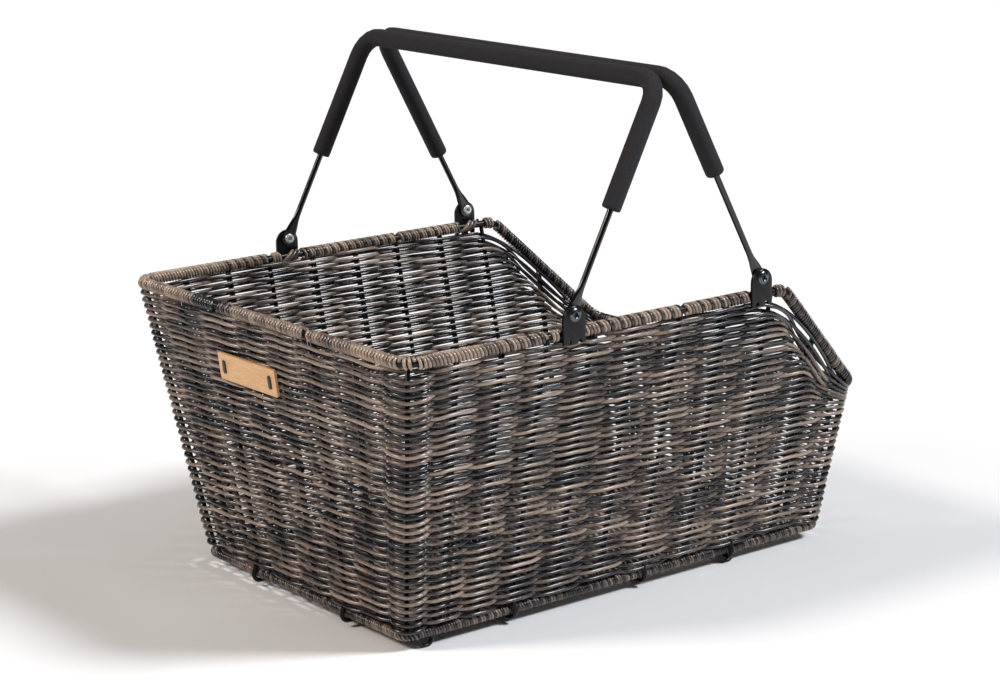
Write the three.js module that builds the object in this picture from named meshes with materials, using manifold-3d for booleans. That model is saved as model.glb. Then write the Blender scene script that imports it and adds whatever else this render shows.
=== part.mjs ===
// A woven rear basket for a bicycle: a steel rod frame with a low front, walls and floor
// woven from round synthetic strand, bound rims, and two hinged carrying handles.
// Millimetres, +Z up. X runs along the basket, from the rear end (-X) to the low front (+X).
// The near side is -Y. The origin is on the ground, in the middle of the box round the basket.

import * as THREE from 'three';
import { mergeVertices } from 'three/addons/utils/BufferGeometryUtils.js';
import Module from 'manifold-3d';

// Rim: sizes between the centre lines of the rod
const rimLength = 460;
const rimWidth = 372;
const rimHeight = 233;
const slopeRun = 97.5;
const slopeDrop = 97.5;
const rimCornerRadius = 15;
const slopeBendRadius = 20;
const rimRodDiameter = 6;
const rimBindingDiameter = 10.6;

// Base ring: sizes between the centre lines of the rod
const baseRearInset = 28.3;
const baseFrontInset = 10.4;
const baseWidth = 272;
const baseHeight = 11.5;
const baseCornerRadius = 9;
const baseRodDiameter = 5;
const baseBindingDiameter = 8.6;

// Woven walls and floor
const wallThickness = 9.6;
const floatRise = 1.9;
const wallTopGap = 2;
const coursePitch = 31;
const floorThickness = 9;

// Stake wires and corner posts that stand in the weave
const stakeDiameter = 3.6;
const rearWireAhead = 126;
const middleWireAhead = 256;
const frontWireBack = 13.5;
const longWireY = 62;
const hookRise = 15;
const joggleRun = 16;
const sideSpaces = [3, 3, 2, 2];
const endSpaces = [2, 3, 2];
const gentleBendShare = 0.33;
const hookBendShare = 0.9;

// Mounting eyes under the base ring
const eyeWireDiameter = 3.2;
const eyeSpan = 12.4;
const rearEyeAhead = 18;
const footFlat = 0.5;
const eyeBendShare = 0.48;

// Handle brackets and rivets
const rearPivotAhead = 147.5;
const frontPivotBack = 28;
const pivotRise = 14.5;
const bracketWidth = 21;
const bracketSpace = 1;
const bracketRise = 21.5;
const bracketDrop = 7.5;
const bracketThickness = 2.2;
const bossDiameter = 13;
const bossHeight = 0.8;
const notchWidth = 3.2;
const notchDepth = 1.5;
const notchSpacing = 9.6;
const rivetShankDiameter = 4.6;
const rivetHeadDiameter = 8.4;
const rivetHeadHeight = 1.8;
const rivetBoreDiameter = 2.8;
const rivetBoreDepth = 4;
const domeShare = 0.85;

// Handles
const legLength = 184;
const handleRodDiameter = 4.8;
const handleBendRadius = 18;
const eyeDiameter = 13;
const eyeThickness = 2.6;
const spoonLength = 26;
const spoonStartShare = 0.15;
const spoonStartWidthShare = 0.9;
const spoonWaistShare = 0.45;
const spoonWaistWidthShare = 0.72;
const spoonLap = 0.5;
const gripDiameter = 14.8;
const gripStart = 79;
const rearGripSlide = 3;
const frontGripSlide = 19;
const gripSpacing = 0.4;

// Plate on the rear wall
const plateLength = 80;
const plateHeight = 22;
const plateThickness = 2.4;
const plateCornerRadius = 2;
const plateY = 21.5;
const plateDrop = 45;
const slotSpacing = 64;
const slotLength = 10;
const slotWidth = 3.2;
const clipHeadMargin = 1.2;
const clipHeadThickness = 1.4;

// Clearance between pieces that touch
const fit = 0.3;

// Facets round a rod, a thin wire, a binding and a turned piece, and along a bend of a rod and a wire
const rodSides = 8;
const wireSides = 6;
const bindingSides = 8;
const turnedSides = 8;
const bendSides = 4;
const wireBendSides = 2;

const steelBlack = { color: 0x1b1b1d, roughness: 0.32, metalness: 0.4 };
const weaveTaupe = { color: 0x5d5148, roughness: 0.5, metalness: 0 };
const bindingTaupe = { color: 0x7b6a5d, roughness: 0.48, metalness: 0 };
const foamCharcoal = { color: 0x2f2e30, roughness: 0.95, metalness: 0 };
const rivetSteel = { color: 0xc4c4c6, roughness: 0.25, metalness: 1 };
const bambooPale = { color: 0xdfb27f, roughness: 0.5, metalness: 0 };
const clipBlack = { color: 0x202022, roughness: 0.5, metalness: 0 };

// Places worked out from the sizes
const rearX = -rimLength / 2;
const frontX = rimLength / 2;
const slopeX = frontX - slopeRun;
const lowHeight = rimHeight - slopeDrop;
const baseRearX = rearX + baseRearInset;
const baseFrontX = frontX - baseFrontInset;
const rimHalf = rimWidth / 2;
const baseHalf = baseWidth / 2;
const lowShare = (lowHeight - baseHeight) / (rimHeight - baseHeight);
const lowHalf = baseHalf + (rimHalf - baseHalf) * lowShare;
const crossWireX = [rearX + rearWireAhead, rearX + middleWireAhead, slopeX - frontWireBack];
const eyeX = [baseRearX + rearEyeAhead, crossWireX[2]];
const rearPivotX = rearX + rearPivotAhead;
const frontPivotX = slopeX - frontPivotBack;
const plateZ = rimHeight - plateDrop;
const hookOffset = (baseBindingDiameter + stakeDiameter) / 2 + fit;
const crossWireZ = baseHeight - hookOffset;
const longWireZ = crossWireZ + stakeDiameter + fit;
const floorBottom = crossWireZ + stakeDiameter / 2 + fit;
const pivotZ = rimHeight + pivotRise;
const bracketFace = rimHalf + rimRodDiameter / 2 + fit;
const legY = bracketFace - fit - eyeThickness / 2;

const wasm = await Module();
wasm.setup();
const basket = new THREE.Group();

function point(x, y, z) {
  return new THREE.Vector3(x, y, z);
}

// Solids and booleans
function positionsOnly(geometry) {
  const bare = new THREE.BufferGeometry();
  bare.setAttribute('position', geometry.getAttribute('position').clone());
  if (geometry.index) bare.setIndex(geometry.index.clone());
  return mergeVertices(bare, 1e-4);
}

function toSolid(geometry) {
  const bare = positionsOnly(geometry);
  const vertProperties = new Float32Array(bare.getAttribute('position').array);
  const triVerts = new Uint32Array(bare.index.array);
  return new wasm.Manifold(new wasm.Mesh({ numProp: 3, vertProperties, triVerts }));
}

function toGeometry(solid) {
  const mesh = solid.getMesh();
  const geometry = new THREE.BufferGeometry();
  geometry.setAttribute('position', new THREE.BufferAttribute(mesh.vertProperties, 3));
  geometry.setIndex(new THREE.BufferAttribute(mesh.triVerts, 1));
  return geometry;
}

function cut(geometry, tools) {
  let solid = toSolid(geometry);
  for (const tool of tools) {
    solid = solid.subtract(toSolid(tool));
  }
  return toGeometry(solid);
}

function join(geometries) {
  let solid = toSolid(geometries[0]);
  for (const other of geometries.slice(1)) {
    solid = solid.add(toSolid(other));
  }
  return toGeometry(solid);
}

function addPiece(name, geometry, look, parent = basket) {
  const faceted = geometry.index ? geometry.toNonIndexed() : geometry;
  faceted.computeVertexNormals();
  const mesh = new THREE.Mesh(faceted, new THREE.MeshStandardMaterial(look));
  mesh.name = name;
  parent.add(mesh);
}

// Bent wire: straight runs joined by arcs, with a station at each end of a run and along each arc
function arcStations(before, corner, after, radius, steps) {
  const arriving = corner.clone().sub(before).normalize();
  const leaving = after.clone().sub(corner).normalize();
  const turn = arriving.angleTo(leaving);
  const tangentLength = radius * Math.tan(turn / 2);
  const start = corner.clone().addScaledVector(arriving, -tangentLength);
  const inward = leaving.clone().addScaledVector(arriving, -leaving.dot(arriving)).normalize();
  const stations = [];
  for (let i = 0; i <= steps; i++) {
    const angle = turn * i / steps;
    const at = start.clone();
    at.addScaledVector(arriving, radius * Math.sin(angle));
    at.addScaledVector(inward, radius * (1 - Math.cos(angle)));
    const tangent = arriving.clone().multiplyScalar(Math.cos(angle));
    tangent.addScaledVector(inward, Math.sin(angle));
    stations.push({ at, tangent });
  }
  return stations;
}

class BentWire extends THREE.Curve {
  constructor(corners, radius, arcSteps = bendSides) {
    super();
    const last = corners.length - 1;
    const heading = (i) => corners[i + 1].clone().sub(corners[i]).normalize();
    this.stations = [{ at: corners[0], tangent: heading(0) }];
    for (let i = 1; i < last; i++) {
      const bend = Array.isArray(radius) ? radius[i - 1] : radius;
      const arc = arcStations(corners[i - 1], corners[i], corners[i + 1], bend, arcSteps);
      this.stations.push(...arc);
    }
    this.stations.push({ at: corners[last], tangent: heading(last - 1) });
  }

  get steps() {
    return this.stations.length - 1;
  }

  getPointAt(u, target = new THREE.Vector3()) {
    return target.copy(this.stations[Math.round(u * this.steps)].at);
  }

  getTangentAt(u, target = new THREE.Vector3()) {
    return target.copy(this.stations[Math.round(u * this.steps)].tangent);
  }
}

function ring(diameter, sides) {
  const points = [];
  for (let i = 0; i < sides; i++) {
    const angle = 2 * Math.PI * (i + 0.5) / sides;
    points.push(new THREE.Vector2(Math.cos(angle), Math.sin(angle)).multiplyScalar(diameter / 2));
  }
  return points;
}

function swept(section, wire) {
  const options = { steps: wire.steps, extrudePath: wire, curveSegments: 1 };
  return new THREE.ExtrudeGeometry(section, options);
}

function rod(wire, diameter, facets) {
  return swept(new THREE.Shape(ring(diameter, facets)), wire);
}

function sleeve(wire, outer, bore, facets) {
  const section = new THREE.Shape(ring(outer, facets));
  section.holes.push(new THREE.Path(ring(bore, rodSides)));
  return swept(section, wire);
}

// A flat shape made a slab between two heights
function slab(shape, from, to, curveSegments = wireBendSides) {
  const options = { depth: to - from, bevelEnabled: false, curveSegments };
  return new THREE.ExtrudeGeometry(shape, options).translate(0, 0, from);
}

// Loft of one flat outline through a row of placements, each a function from outline to space.
// The ends are closed by strips between the outline's first half and its second.
function loft(outline, placements) {
  const count = outline.length;
  const positions = [];
  for (const place of placements) {
    for (const corner of outline) {
      positions.push(...place(corner.x, corner.y).toArray());
    }
  }
  const index = [];
  for (let row = 0; row + 1 < placements.length; row++) {
    for (let i = 0; i < count; i++) {
      const a = row * count + i;
      const b = row * count + (i + 1) % count;
      index.push(a, b, b + count, a, b + count, a + count);
    }
  }
  const lastRow = (placements.length - 1) * count;
  for (let a = 0; a + 1 < count / 2; a++) {
    const [b, c, d] = [a + 1, count - 2 - a, count - 1 - a];
    index.push(a, c, b, a, d, c);
    index.push(lastRow + a, lastRow + b, lastRow + c, lastRow + a, lastRow + c, lastRow + d);
  }
  const geometry = new THREE.BufferGeometry();
  geometry.setAttribute('position', new THREE.Float32BufferAttribute(positions, 3));
  geometry.setIndex(index);
  return geometry;
}

// Rim and base ring: corner points, seen along each side (-1 near, +1 far)
const sides = { near: -1, far: 1 };
const rimRear = (side) => point(rearX, side * rimHalf, rimHeight);
const rimSlope = (side) => point(slopeX, side * rimHalf, rimHeight);
const rimLow = (side) => point(frontX, side * lowHalf, lowHeight);
const baseRear = (side) => point(baseRearX, side * baseHalf, baseHeight);
const baseFront = (side) => point(baseFrontX, side * baseHalf, baseHeight);
const rimArc = (from, corner, to) => arcStations(from, corner, to, rimCornerRadius, bendSides);
const baseArc = (from, corner, to) => arcStations(from, corner, to, baseCornerRadius, bendSides);
const rimRearArc = (side) => rimArc(rimRear(-side), rimRear(side), rimSlope(side));
const rimLowArc = (side) => rimArc(rimSlope(side), rimLow(side), rimLow(-side));
const baseRearArc = (side) => baseArc(baseRear(-side), baseRear(side), baseFront(side));
const baseFrontArc = (side) => baseArc(baseRear(side), baseFront(side), baseFront(-side));

// Both frames are rods bent to a loop whose ends meet in the middle of the rear end
const rimWire = new BentWire([
  point(rearX, -fit / 2, rimHeight),
  rimRear(-1), rimSlope(-1), rimLow(-1), rimLow(1), rimSlope(1), rimRear(1),
  point(rearX, fit / 2, rimHeight),
], [
  rimCornerRadius, slopeBendRadius, rimCornerRadius,
  rimCornerRadius, slopeBendRadius, rimCornerRadius,
]);
const baseWire = new BentWire([
  point(baseRearX, -fit / 2, baseHeight),
  baseRear(-1), baseFront(-1), baseFront(1), baseRear(1),
  point(baseRearX, fit / 2, baseHeight),
], baseCornerRadius);
const frameRoom = [
  rod(rimWire, rimRodDiameter + 2 * fit, rodSides),
  rod(baseWire, baseRodDiameter + 2 * fit, rodSides),
];

function makeFrames() {
  addPiece('rim_frame', rod(rimWire, rimRodDiameter, rodSides), steelBlack);
  addPiece('base_frame', rod(baseWire, baseRodDiameter, rodSides), steelBlack);
}

// A stake wire's half: from the rim rod down the wall, round the outside of the base ring and
// under it. wallTop and wallFoot are the rim and base ring centres, outward is level.
function stakeHalf(wallTop, wallFoot, outward, runZ) {
  const up = wallTop.clone().sub(wallFoot).normalize();
  const leave = wallFoot.clone().addScaledVector(up, hookRise);
  const beside = wallFoot.clone().addScaledVector(outward, hookOffset);
  const under = point(beside.x, beside.y, crossWireZ);
  const inside = under.clone().addScaledVector(outward, -2 * hookOffset);
  const level = inside.clone().addScaledVector(outward, -joggleRun);
  level.z = runZ;
  const radii = [
    hookRise * gentleBendShare,
    hookOffset * gentleBendShare,
    hookOffset * hookBendShare,
  ];
  return { corners: [wallTop, leave, beside, under, inside, level], radii };
}

function stakeWire(half, otherHalf, joggled) {
  const level = joggled ? half.corners.length : half.radii.length + 1;
  const first = half.corners.slice(0, level);
  const second = otherHalf.corners.slice(0, level).reverse();
  const joggle = joggleRun * gentleBendShare;
  const radii = joggled ? [...half.radii, joggle, joggle] : half.radii;
  const mirrored = [...radii].reverse();
  return new BentWire([...first, ...second], [...radii, ...mirrored], wireBendSides);
}

function crossWire(x) {
  const halves = [-1, 1].map((side) => stakeHalf(
    point(x, side * rimHalf, rimHeight),
    point(x, side * baseHalf, baseHeight),
    point(0, side, 0),
    crossWireZ,
  ));
  return stakeWire(halves[0], halves[1], false);
}

function longWire(y) {
  const rear = stakeHalf(
    point(rearX, y, rimHeight),
    point(baseRearX, y, baseHeight),
    point(-1, 0, 0),
    longWireZ,
  );
  const front = stakeHalf(
    point(frontX, y, lowHeight),
    point(baseFrontX, y, baseHeight),
    point(1, 0, 0),
    longWireZ,
  );
  return stakeWire(rear, front, true);
}

function cornerPost(topArc, footArc) {
  const middle = (arc) => arc[Math.floor(arc.length / 2)].at;
  return new BentWire([middle(footArc), middle(topArc)], 0);
}

const stakes = {
  cross_wire_rear: crossWire(crossWireX[0]),
  cross_wire_middle: crossWire(crossWireX[1]),
  cross_wire_front: crossWire(crossWireX[2]),
  long_wire_near: longWire(-longWireY),
  long_wire_far: longWire(longWireY),
};
for (const [word, side] of Object.entries(sides)) {
  stakes[`corner_post_rear_${word}`] = cornerPost(rimRearArc(side), baseRearArc(side));
  stakes[`corner_post_front_${word}`] = cornerPost(rimLowArc(side), baseFrontArc(side));
}
const stakeRoom = Object.values(stakes).map((wire) => {
  return rod(wire, stakeDiameter + 2 * fit, wireSides);
});

// The ends of the stakes are coped to the rods that they are welded to
function makeStakes() {
  for (const [name, wire] of Object.entries(stakes)) {
    addPiece(name, cut(rod(wire, stakeDiameter, wireSides), frameRoom), steelBlack);
  }
}

// Mounting eyes: a bent wire standing in holes of the binding, welded under the base rod.
// The lowest part of the bend is pressed flat, and the basket stands on these flats.
// The front eyes straddle the hooks of the front cross wire.
function eyeWire(x, side) {
  const top = baseHeight - baseRodDiameter / 2 - fit;
  const bottom = eyeWireDiameter / 2 - footFlat;
  const corners = [
    point(x - eyeSpan / 2, side * baseHalf, top),
    point(x - eyeSpan / 2, side * baseHalf, bottom),
    point(x + eyeSpan / 2, side * baseHalf, bottom),
    point(x + eyeSpan / 2, side * baseHalf, top),
  ];
  return new BentWire(corners, eyeSpan * eyeBendShare);
}

const eyeRoom = [];

function makeEyes() {
  const ground = new THREE.BoxGeometry(3 * rimLength, 3 * rimWidth, rimHeight);
  ground.translate(0, 0, -rimHeight / 2);
  for (const [end, x] of [['rear', eyeX[0]], ['front', eyeX[1]]]) {
    for (const [word, side] of Object.entries(sides)) {
      const wire = eyeWire(x, side);
      eyeRoom.push(rod(wire, eyeWireDiameter + 2 * fit, wireSides));
      const eye = cut(rod(wire, eyeWireDiameter, wireSides), [ground]);
      addPiece(`mounting_eye_${end}_${word}`, eye, steelBlack);
    }
  }
}

// Woven panels: a closed wall with the floats of a plain weave on both faces. At each stake the
// courses pass outside and inside in turn, and the next stake has them the other way. A station
// joins a point of the base ring to the point of the rim above it. Its weave is 1 or -1 at a
// stake, by the way its lowest course passes, and less between stakes.
const coreHalf = wallThickness / 2 - floatRise;

function courseOutline(courses) {
  const face = [];
  for (let k = 0; k < courses; k++) {
    face.push(new THREE.Vector2(coreHalf, k / courses));
    face.push(new THREE.Vector2(coreHalf + floatRise, (k + 0.5) / courses));
  }
  face.push(new THREE.Vector2(coreHalf, 1));
  const inner = face.map(({ x, y }) => new THREE.Vector2(-x, y));
  return [...face, ...inner.reverse()];
}

function wallStation({ foot, top, along, rimRun, weave }, courses) {
  const rise = top.clone().sub(foot);
  const height = rise.length();
  const up = rise.divideScalar(height);
  const outward = along.clone().cross(up).normalize();
  const low = baseBindingDiameter / 2 + fit;
  const slant = rimRun.clone().normalize().cross(up).length();
  const high = height - (rimBindingDiameter / 2 + wallTopGap) / slant;
  return (n, t) => {
    const face = Math.sign(n);
    const course = Math.floor(courses * t);
    const float = Math.max(0, face * weave * (-1) ** course);
    const depth = coreHalf + (Math.abs(n) - coreHalf) * float;
    const onWall = foot.clone().addScaledVector(up, low + (high - low) * t);
    return onWall.addScaledVector(outward, face * depth);
  };
}

function wallPanel(stations, wallHeight, room) {
  const courses = Math.round((wallHeight - baseHeight) / coursePitch);
  const placements = stations.map((s) => wallStation(s, courses)).reverse();
  return cut(loft(courseOutline(courses), placements), room);
}

function cornerPanel(topArc, footArc, wallHeight, weave) {
  const middle = Math.floor(topArc.length / 2);
  const stations = [0, middle, topArc.length - 1].map((i) => ({
    foot: footArc[i].at,
    top: topArc[i].at,
    along: topArc[i].tangent.clone().add(footArc[i].tangent),
    rimRun: topArc[i].tangent,
    weave: i === middle ? weave : 0,
  }));
  return wallPanel(stations, wallHeight, stakeRoom);
}

const lastOf = (arc) => arc[arc.length - 1].at;
const alongX = point(1, 0, 0);
const alongY = point(0, 1, 0);

// Stakes along a wall: marks at the wires, and even spaces between them. The weave changes over
// from each stake to the next, starting from the corner's, and lies flat at both ends.
function spread(marks, spaces) {
  const places = [marks[0]];
  for (let m = 0; m < spaces.length; m++) {
    for (let j = 1; j <= spaces[m]; j++) {
      places.push(marks[m] + (marks[m + 1] - marks[m]) * j / spaces[m]);
    }
  }
  return places;
}

function weaveAt(i, count, corner) {
  const end = i === 0 || i === count - 1;
  return end ? 0 : corner * (-1) ** i;
}

function onRim(x, side) {
  const share = Math.max(0, x - slopeX) / slopeRun;
  const level = point(x, side * rimHalf, rimHeight);
  return share > 0 ? rimSlope(side).lerp(rimLow(side), share) : level;
}

// The stations of a panel run with the outside of the basket on their right
function sidePanel(side, corner) {
  const slope = rimLow(side).sub(rimSlope(side)).normalize();
  const footEnds = [lastOf(baseRearArc(side)).x + fit, baseFrontArc(side)[0].at.x - fit];
  const topEnds = [lastOf(rimRearArc(side)).x + fit, rimLowArc(side)[0].at.x - fit];
  const feet = spread([footEnds[0], ...crossWireX, footEnds[1]], sideSpaces);
  const tops = spread([topEnds[0], ...crossWireX, topEnds[1]], sideSpaces);
  const stations = tops.map((x, i) => ({
    foot: point(feet[i], side * baseHalf, baseHeight),
    top: onRim(x, side),
    along: alongX,
    rimRun: x > slopeX ? slope : alongX,
    weave: weaveAt(i, tops.length, corner),
  }));
  const bends = arcStations(rimRear(side), rimSlope(side), rimLow(side), slopeBendRadius, 2);
  const bend = bends[1];
  const after = tops.findIndex((x) => x > bend.at.x);
  const way = (bend.at.x - tops[after - 1]) / (tops[after] - tops[after - 1]);
  stations.splice(after, 0, {
    foot: point(bend.at.x, side * baseHalf, baseHeight),
    top: bend.at,
    along: alongX,
    rimRun: bend.tangent,
    weave: stations[after - 1].weave * (1 - way) + stations[after].weave * way,
  });
  const back = alongX.clone().negate();
  return side < 0 ? stations : stations.reverse().map((s) => ({ ...s, along: back }));
}

function endPanel(footEnds, topEnds, along, corner) {
  const trim = along.y * fit;
  const wires = [-along.y * longWireY, along.y * longWireY];
  const feet = spread([footEnds[0].y + trim, ...wires, footEnds[1].y - trim], endSpaces);
  const tops = spread([topEnds[0].y + trim, ...wires, topEnds[1].y - trim], endSpaces);
  return tops.map((y, i) => ({
    foot: footEnds[0].clone().setY(feet[i]),
    top: topEnds[0].clone().setY(y),
    along,
    rimRun: along,
    weave: weaveAt(i, tops.length, corner),
  }));
}

function makeWalls() {
  const toFar = alongY;
  const toNear = alongY.clone().negate();
  addPiece('wall_near', wallPanel(sidePanel(-1, 1), rimHeight, stakeRoom), weaveTaupe);
  addPiece('wall_far', wallPanel(sidePanel(1, -1), rimHeight, stakeRoom), weaveTaupe);
  const front = endPanel(
    [lastOf(baseFrontArc(-1)), lastOf(baseFrontArc(1))],
    [lastOf(rimLowArc(-1)), lastOf(rimLowArc(1))],
    toFar, 1,
  );
  const rear = endPanel(
    [baseRearArc(1)[0].at, baseRearArc(-1)[0].at],
    [rimRearArc(1)[0].at, rimRearArc(-1)[0].at],
    toNear, -1,
  );
  addPiece('wall_front', wallPanel(front, lowHeight, stakeRoom), weaveTaupe);
  addPiece('wall_rear', wallPanel(rear, rimHeight, [...stakeRoom, ...clipRoom]), weaveTaupe);

  const turnStation = (s) => ({ at: s.at, tangent: s.tangent.clone().negate() });
  const turned = (arc) => arc.map(turnStation).reverse();
  const rearNear = cornerPanel(rimRearArc(-1), baseRearArc(-1), rimHeight, 1);
  const frontNear = cornerPanel(rimLowArc(-1), baseFrontArc(-1), lowHeight, 1);
  const rearFar = cornerPanel(turned(rimRearArc(1)), turned(baseRearArc(1)), rimHeight, -1);
  const frontFar = cornerPanel(turned(rimLowArc(1)), turned(baseFrontArc(1)), lowHeight, -1);
  addPiece('wall_corner_rear_near', rearNear, weaveTaupe);
  addPiece('wall_corner_front_near', frontNear, weaveTaupe);
  addPiece('wall_corner_rear_far', rearFar, weaveTaupe);
  addPiece('wall_corner_front_far', frontFar, weaveTaupe);
}

// The floor lies on the cross wires and is woven round the lengthwise wires
function makeFloor() {
  const inset = baseBindingDiameter / 2 + fit;
  const left = baseRearX + inset;
  const right = baseFrontX - inset;
  const half = baseHalf - inset;
  const radius = baseCornerRadius - inset;
  const plate = new THREE.Shape();
  plate.absarc(right - radius, half - radius, radius, 0, Math.PI / 2);
  plate.absarc(left + radius, half - radius, radius, Math.PI / 2, Math.PI);
  plate.absarc(left + radius, -half + radius, radius, Math.PI, 1.5 * Math.PI);
  plate.absarc(right - radius, -half + radius, radius, 1.5 * Math.PI, 2 * Math.PI);
  const geometry = slab(plate, floorBottom, floorBottom + floorThickness);
  addPiece('floor_weave', cut(geometry, stakeRoom), weaveTaupe);
}

// Bindings: strand wound on the rods, drawn as sleeves, with holes where wires reach the rod
function makeBindings() {
  const rimBore = rimRodDiameter + 2 * fit;
  const bracketRoom = bracketWidth / 2 + bracketSpace;
  const bind = (name, corners, radius) => {
    const wire = new BentWire(corners, radius);
    const geometry = cut(sleeve(wire, rimBindingDiameter, rimBore, bindingSides), stakeRoom);
    addPiece(`rim_binding_${name}`, geometry, bindingTaupe);
  };
  const bindArc = (name, arc) => {
    const wire = new BentWire([arc[0].at, lastOf(arc)], 0);
    wire.stations = arc;
    const geometry = cut(sleeve(wire, rimBindingDiameter, rimBore, bindingSides), stakeRoom);
    addPiece(`rim_binding_${name}`, geometry, bindingTaupe);
  };
  const onSide = (x, side) => point(x, side * rimHalf, rimHeight);
  const rearEnd = rearX + rimCornerRadius + fit;
  bind('rear', [
    rimRearArc(-1)[0].at.add(point(0, fit, 0)),
    rimRearArc(1)[0].at.add(point(0, -fit, 0)),
  ], 0);
  bind('front', [
    lastOf(rimLowArc(-1)).clone().add(point(0, fit, 0)),
    lastOf(rimLowArc(1)).clone().add(point(0, -fit, 0)),
  ], 0);
  for (const [word, side] of Object.entries(sides)) {
    const low = rimLowArc(side)[0];
    const slopeEnd = low.at.clone().addScaledVector(low.tangent, -fit);
    bindArc(`corner_rear_${word}`, rimRearArc(side));
    bindArc(`corner_front_${word}`, rimLowArc(side));
    bind(`side_rear_${word}`, [onSide(rearEnd, side), onSide(rearPivotX - bracketRoom, side)], 0);
    bind(`side_middle_${word}`, [
      onSide(rearPivotX + bracketRoom, side),
      onSide(frontPivotX - bracketRoom, side),
    ], 0);
    bind(`slope_${word}`, [
      onSide(frontPivotX + bracketRoom, side),
      rimSlope(side),
      slopeEnd,
    ], slopeBendRadius);
  }

  const baseBore = baseRodDiameter + 2 * fit;
  const baseRuns = {
    near: [baseRear(-1), baseFront(-1), baseFront(1)],
    front: [baseFront(-1), baseFront(1), baseRear(1)],
    far: [baseFront(1), baseRear(1), baseRear(-1)],
    rear: [baseRear(1), baseRear(-1), baseFront(-1)],
  };
  for (const [name, [from, corner, to]] of Object.entries(baseRuns)) {
    const run = corner.clone().sub(from).normalize();
    const turn = to.clone().sub(corner).normalize();
    const start = from.clone().addScaledVector(run, baseCornerRadius + fit);
    const end = corner.clone().addScaledVector(turn, baseCornerRadius + fit / 2);
    const wire = new BentWire([start, corner, end], baseCornerRadius);
    const geometry = sleeve(wire, baseBindingDiameter, baseBore, rodSides);
    addPiece(`base_binding_${name}`, cut(geometry, [...stakeRoom, ...eyeRoom]), bindingTaupe);
  }
}

// Handle brackets: stamped tabs welded outside the rim rod, with a raised boss round the rivet
function bracketGeometry() {
  const half = bracketWidth / 2;
  const archZ = bracketRise - half;
  const tab = new THREE.Shape();
  tab.moveTo(-half, -bracketDrop);
  for (const centre of [-notchSpacing / 2, notchSpacing / 2]) {
    tab.lineTo(centre - notchWidth / 2, -bracketDrop);
    tab.lineTo(centre - notchWidth / 2, -bracketDrop + notchDepth);
    tab.lineTo(centre + notchWidth / 2, -bracketDrop + notchDepth);
    tab.lineTo(centre + notchWidth / 2, -bracketDrop);
  }
  tab.lineTo(half, -bracketDrop);
  tab.absarc(0, archZ, half, 0, Math.PI);
  const plate = slab(tab, 0, bracketThickness, bendSides);
  const bossTop = bracketThickness + bossHeight;
  const bossDepth = bracketThickness / 2 + bossHeight;
  const bossFoot = bossDiameter / 2;
  const boss = new THREE.CylinderGeometry(bossFoot - bossHeight, bossFoot, bossDepth, turnedSides);
  boss.rotateX(Math.PI / 2);
  boss.translate(0, pivotRise, bossTop - bossDepth / 2);
  const bore = rivetShankDiameter / 2 + fit;
  const hole = new THREE.CylinderGeometry(bore, bore, 4 * bracketThickness, turnedSides);
  hole.rotateX(Math.PI / 2);
  hole.translate(0, pivotRise, bracketThickness / 2);
  return cut(join([plate, boss]), [hole]);
}

// Hollow rivets: a domed head outside the boss, and a rolled rim on the bored inner end
function rivetGeometry() {
  const headFoot = bracketThickness + bossHeight + fit;
  const innerFace = -fit - eyeThickness - fit;
  const shank = rivetShankDiameter / 2;
  const head = rivetHeadDiameter / 2;
  const bore = rivetBoreDiameter / 2;
  const roll = rivetHeadHeight / 2;
  const profile = [
    [0, innerFace - 2 * roll + rivetBoreDepth],
    [bore, innerFace - 2 * roll + rivetBoreDepth],
    [bore, innerFace - 2 * roll],
    [head - roll / 2, innerFace - 2 * roll],
    [head, innerFace - roll],
    [head, innerFace],
    [shank, innerFace],
    [shank, headFoot],
    [head, headFoot],
    [head, headFoot + roll / 2],
    [head - roll, headFoot + domeShare * rivetHeadHeight],
    [0, headFoot + rivetHeadHeight],
  ];
  const outline = profile.map(([r, y]) => new THREE.Vector2(r, y));
  return new THREE.LatheGeometry(outline, turnedSides).rotateX(Math.PI / 2);
}

function makePivots() {
  for (const [end, x] of [['rear', rearPivotX], ['front', frontPivotX]]) {
    for (const [word, side] of Object.entries(sides)) {
      const place = new THREE.Group();
      place.position.set(x, side * bracketFace, rimHeight);
      place.rotation.set(Math.PI / 2, side < 0 ? 0 : Math.PI, 0);
      basket.add(place);
      addPiece(`handle_bracket_${end}_${word}`, bracketGeometry(), steelBlack, place);
      const rivet = rivetGeometry().translate(0, pivotRise, 0);
      addPiece(`pivot_rivet_${end}_${word}`, rivet, rivetSteel, place);
    }
  }
}

// Handles, drawn upright with the pivot line on Y through the group's origin, then leaned in
function handleCorners(nearStart, farStart) {
  return [
    point(0, -legY, nearStart),
    point(0, -legY, legLength),
    point(0, legY, legLength),
    point(0, legY, farStart),
  ];
}

function flattenedEnd(side) {
  const rodRadius = handleRodDiameter / 2;
  const eyeRadius = eyeDiameter / 2;
  const flat = eyeThickness / 2;
  const stations = [
    { z: eyeDiameter * spoonStartShare, wide: eyeRadius * spoonStartWidthShare, thick: flat },
    { z: spoonLength * spoonWaistShare, wide: eyeRadius * spoonWaistWidthShare, thick: flat },
    { z: spoonLength, wide: rodRadius, thick: rodRadius },
  ];
  const outline = ring(handleRodDiameter, rodSides);
  const placements = stations.map(({ z, wide, thick }) => {
    return (u, v) => point(u * wide / rodRadius, side * legY + v * thick / rodRadius, z);
  });
  const eye = new THREE.CylinderGeometry(eyeRadius, eyeRadius, eyeThickness, bindingSides);
  eye.translate(0, side * legY, 0);
  return [loft(outline, placements), eye];
}

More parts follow.
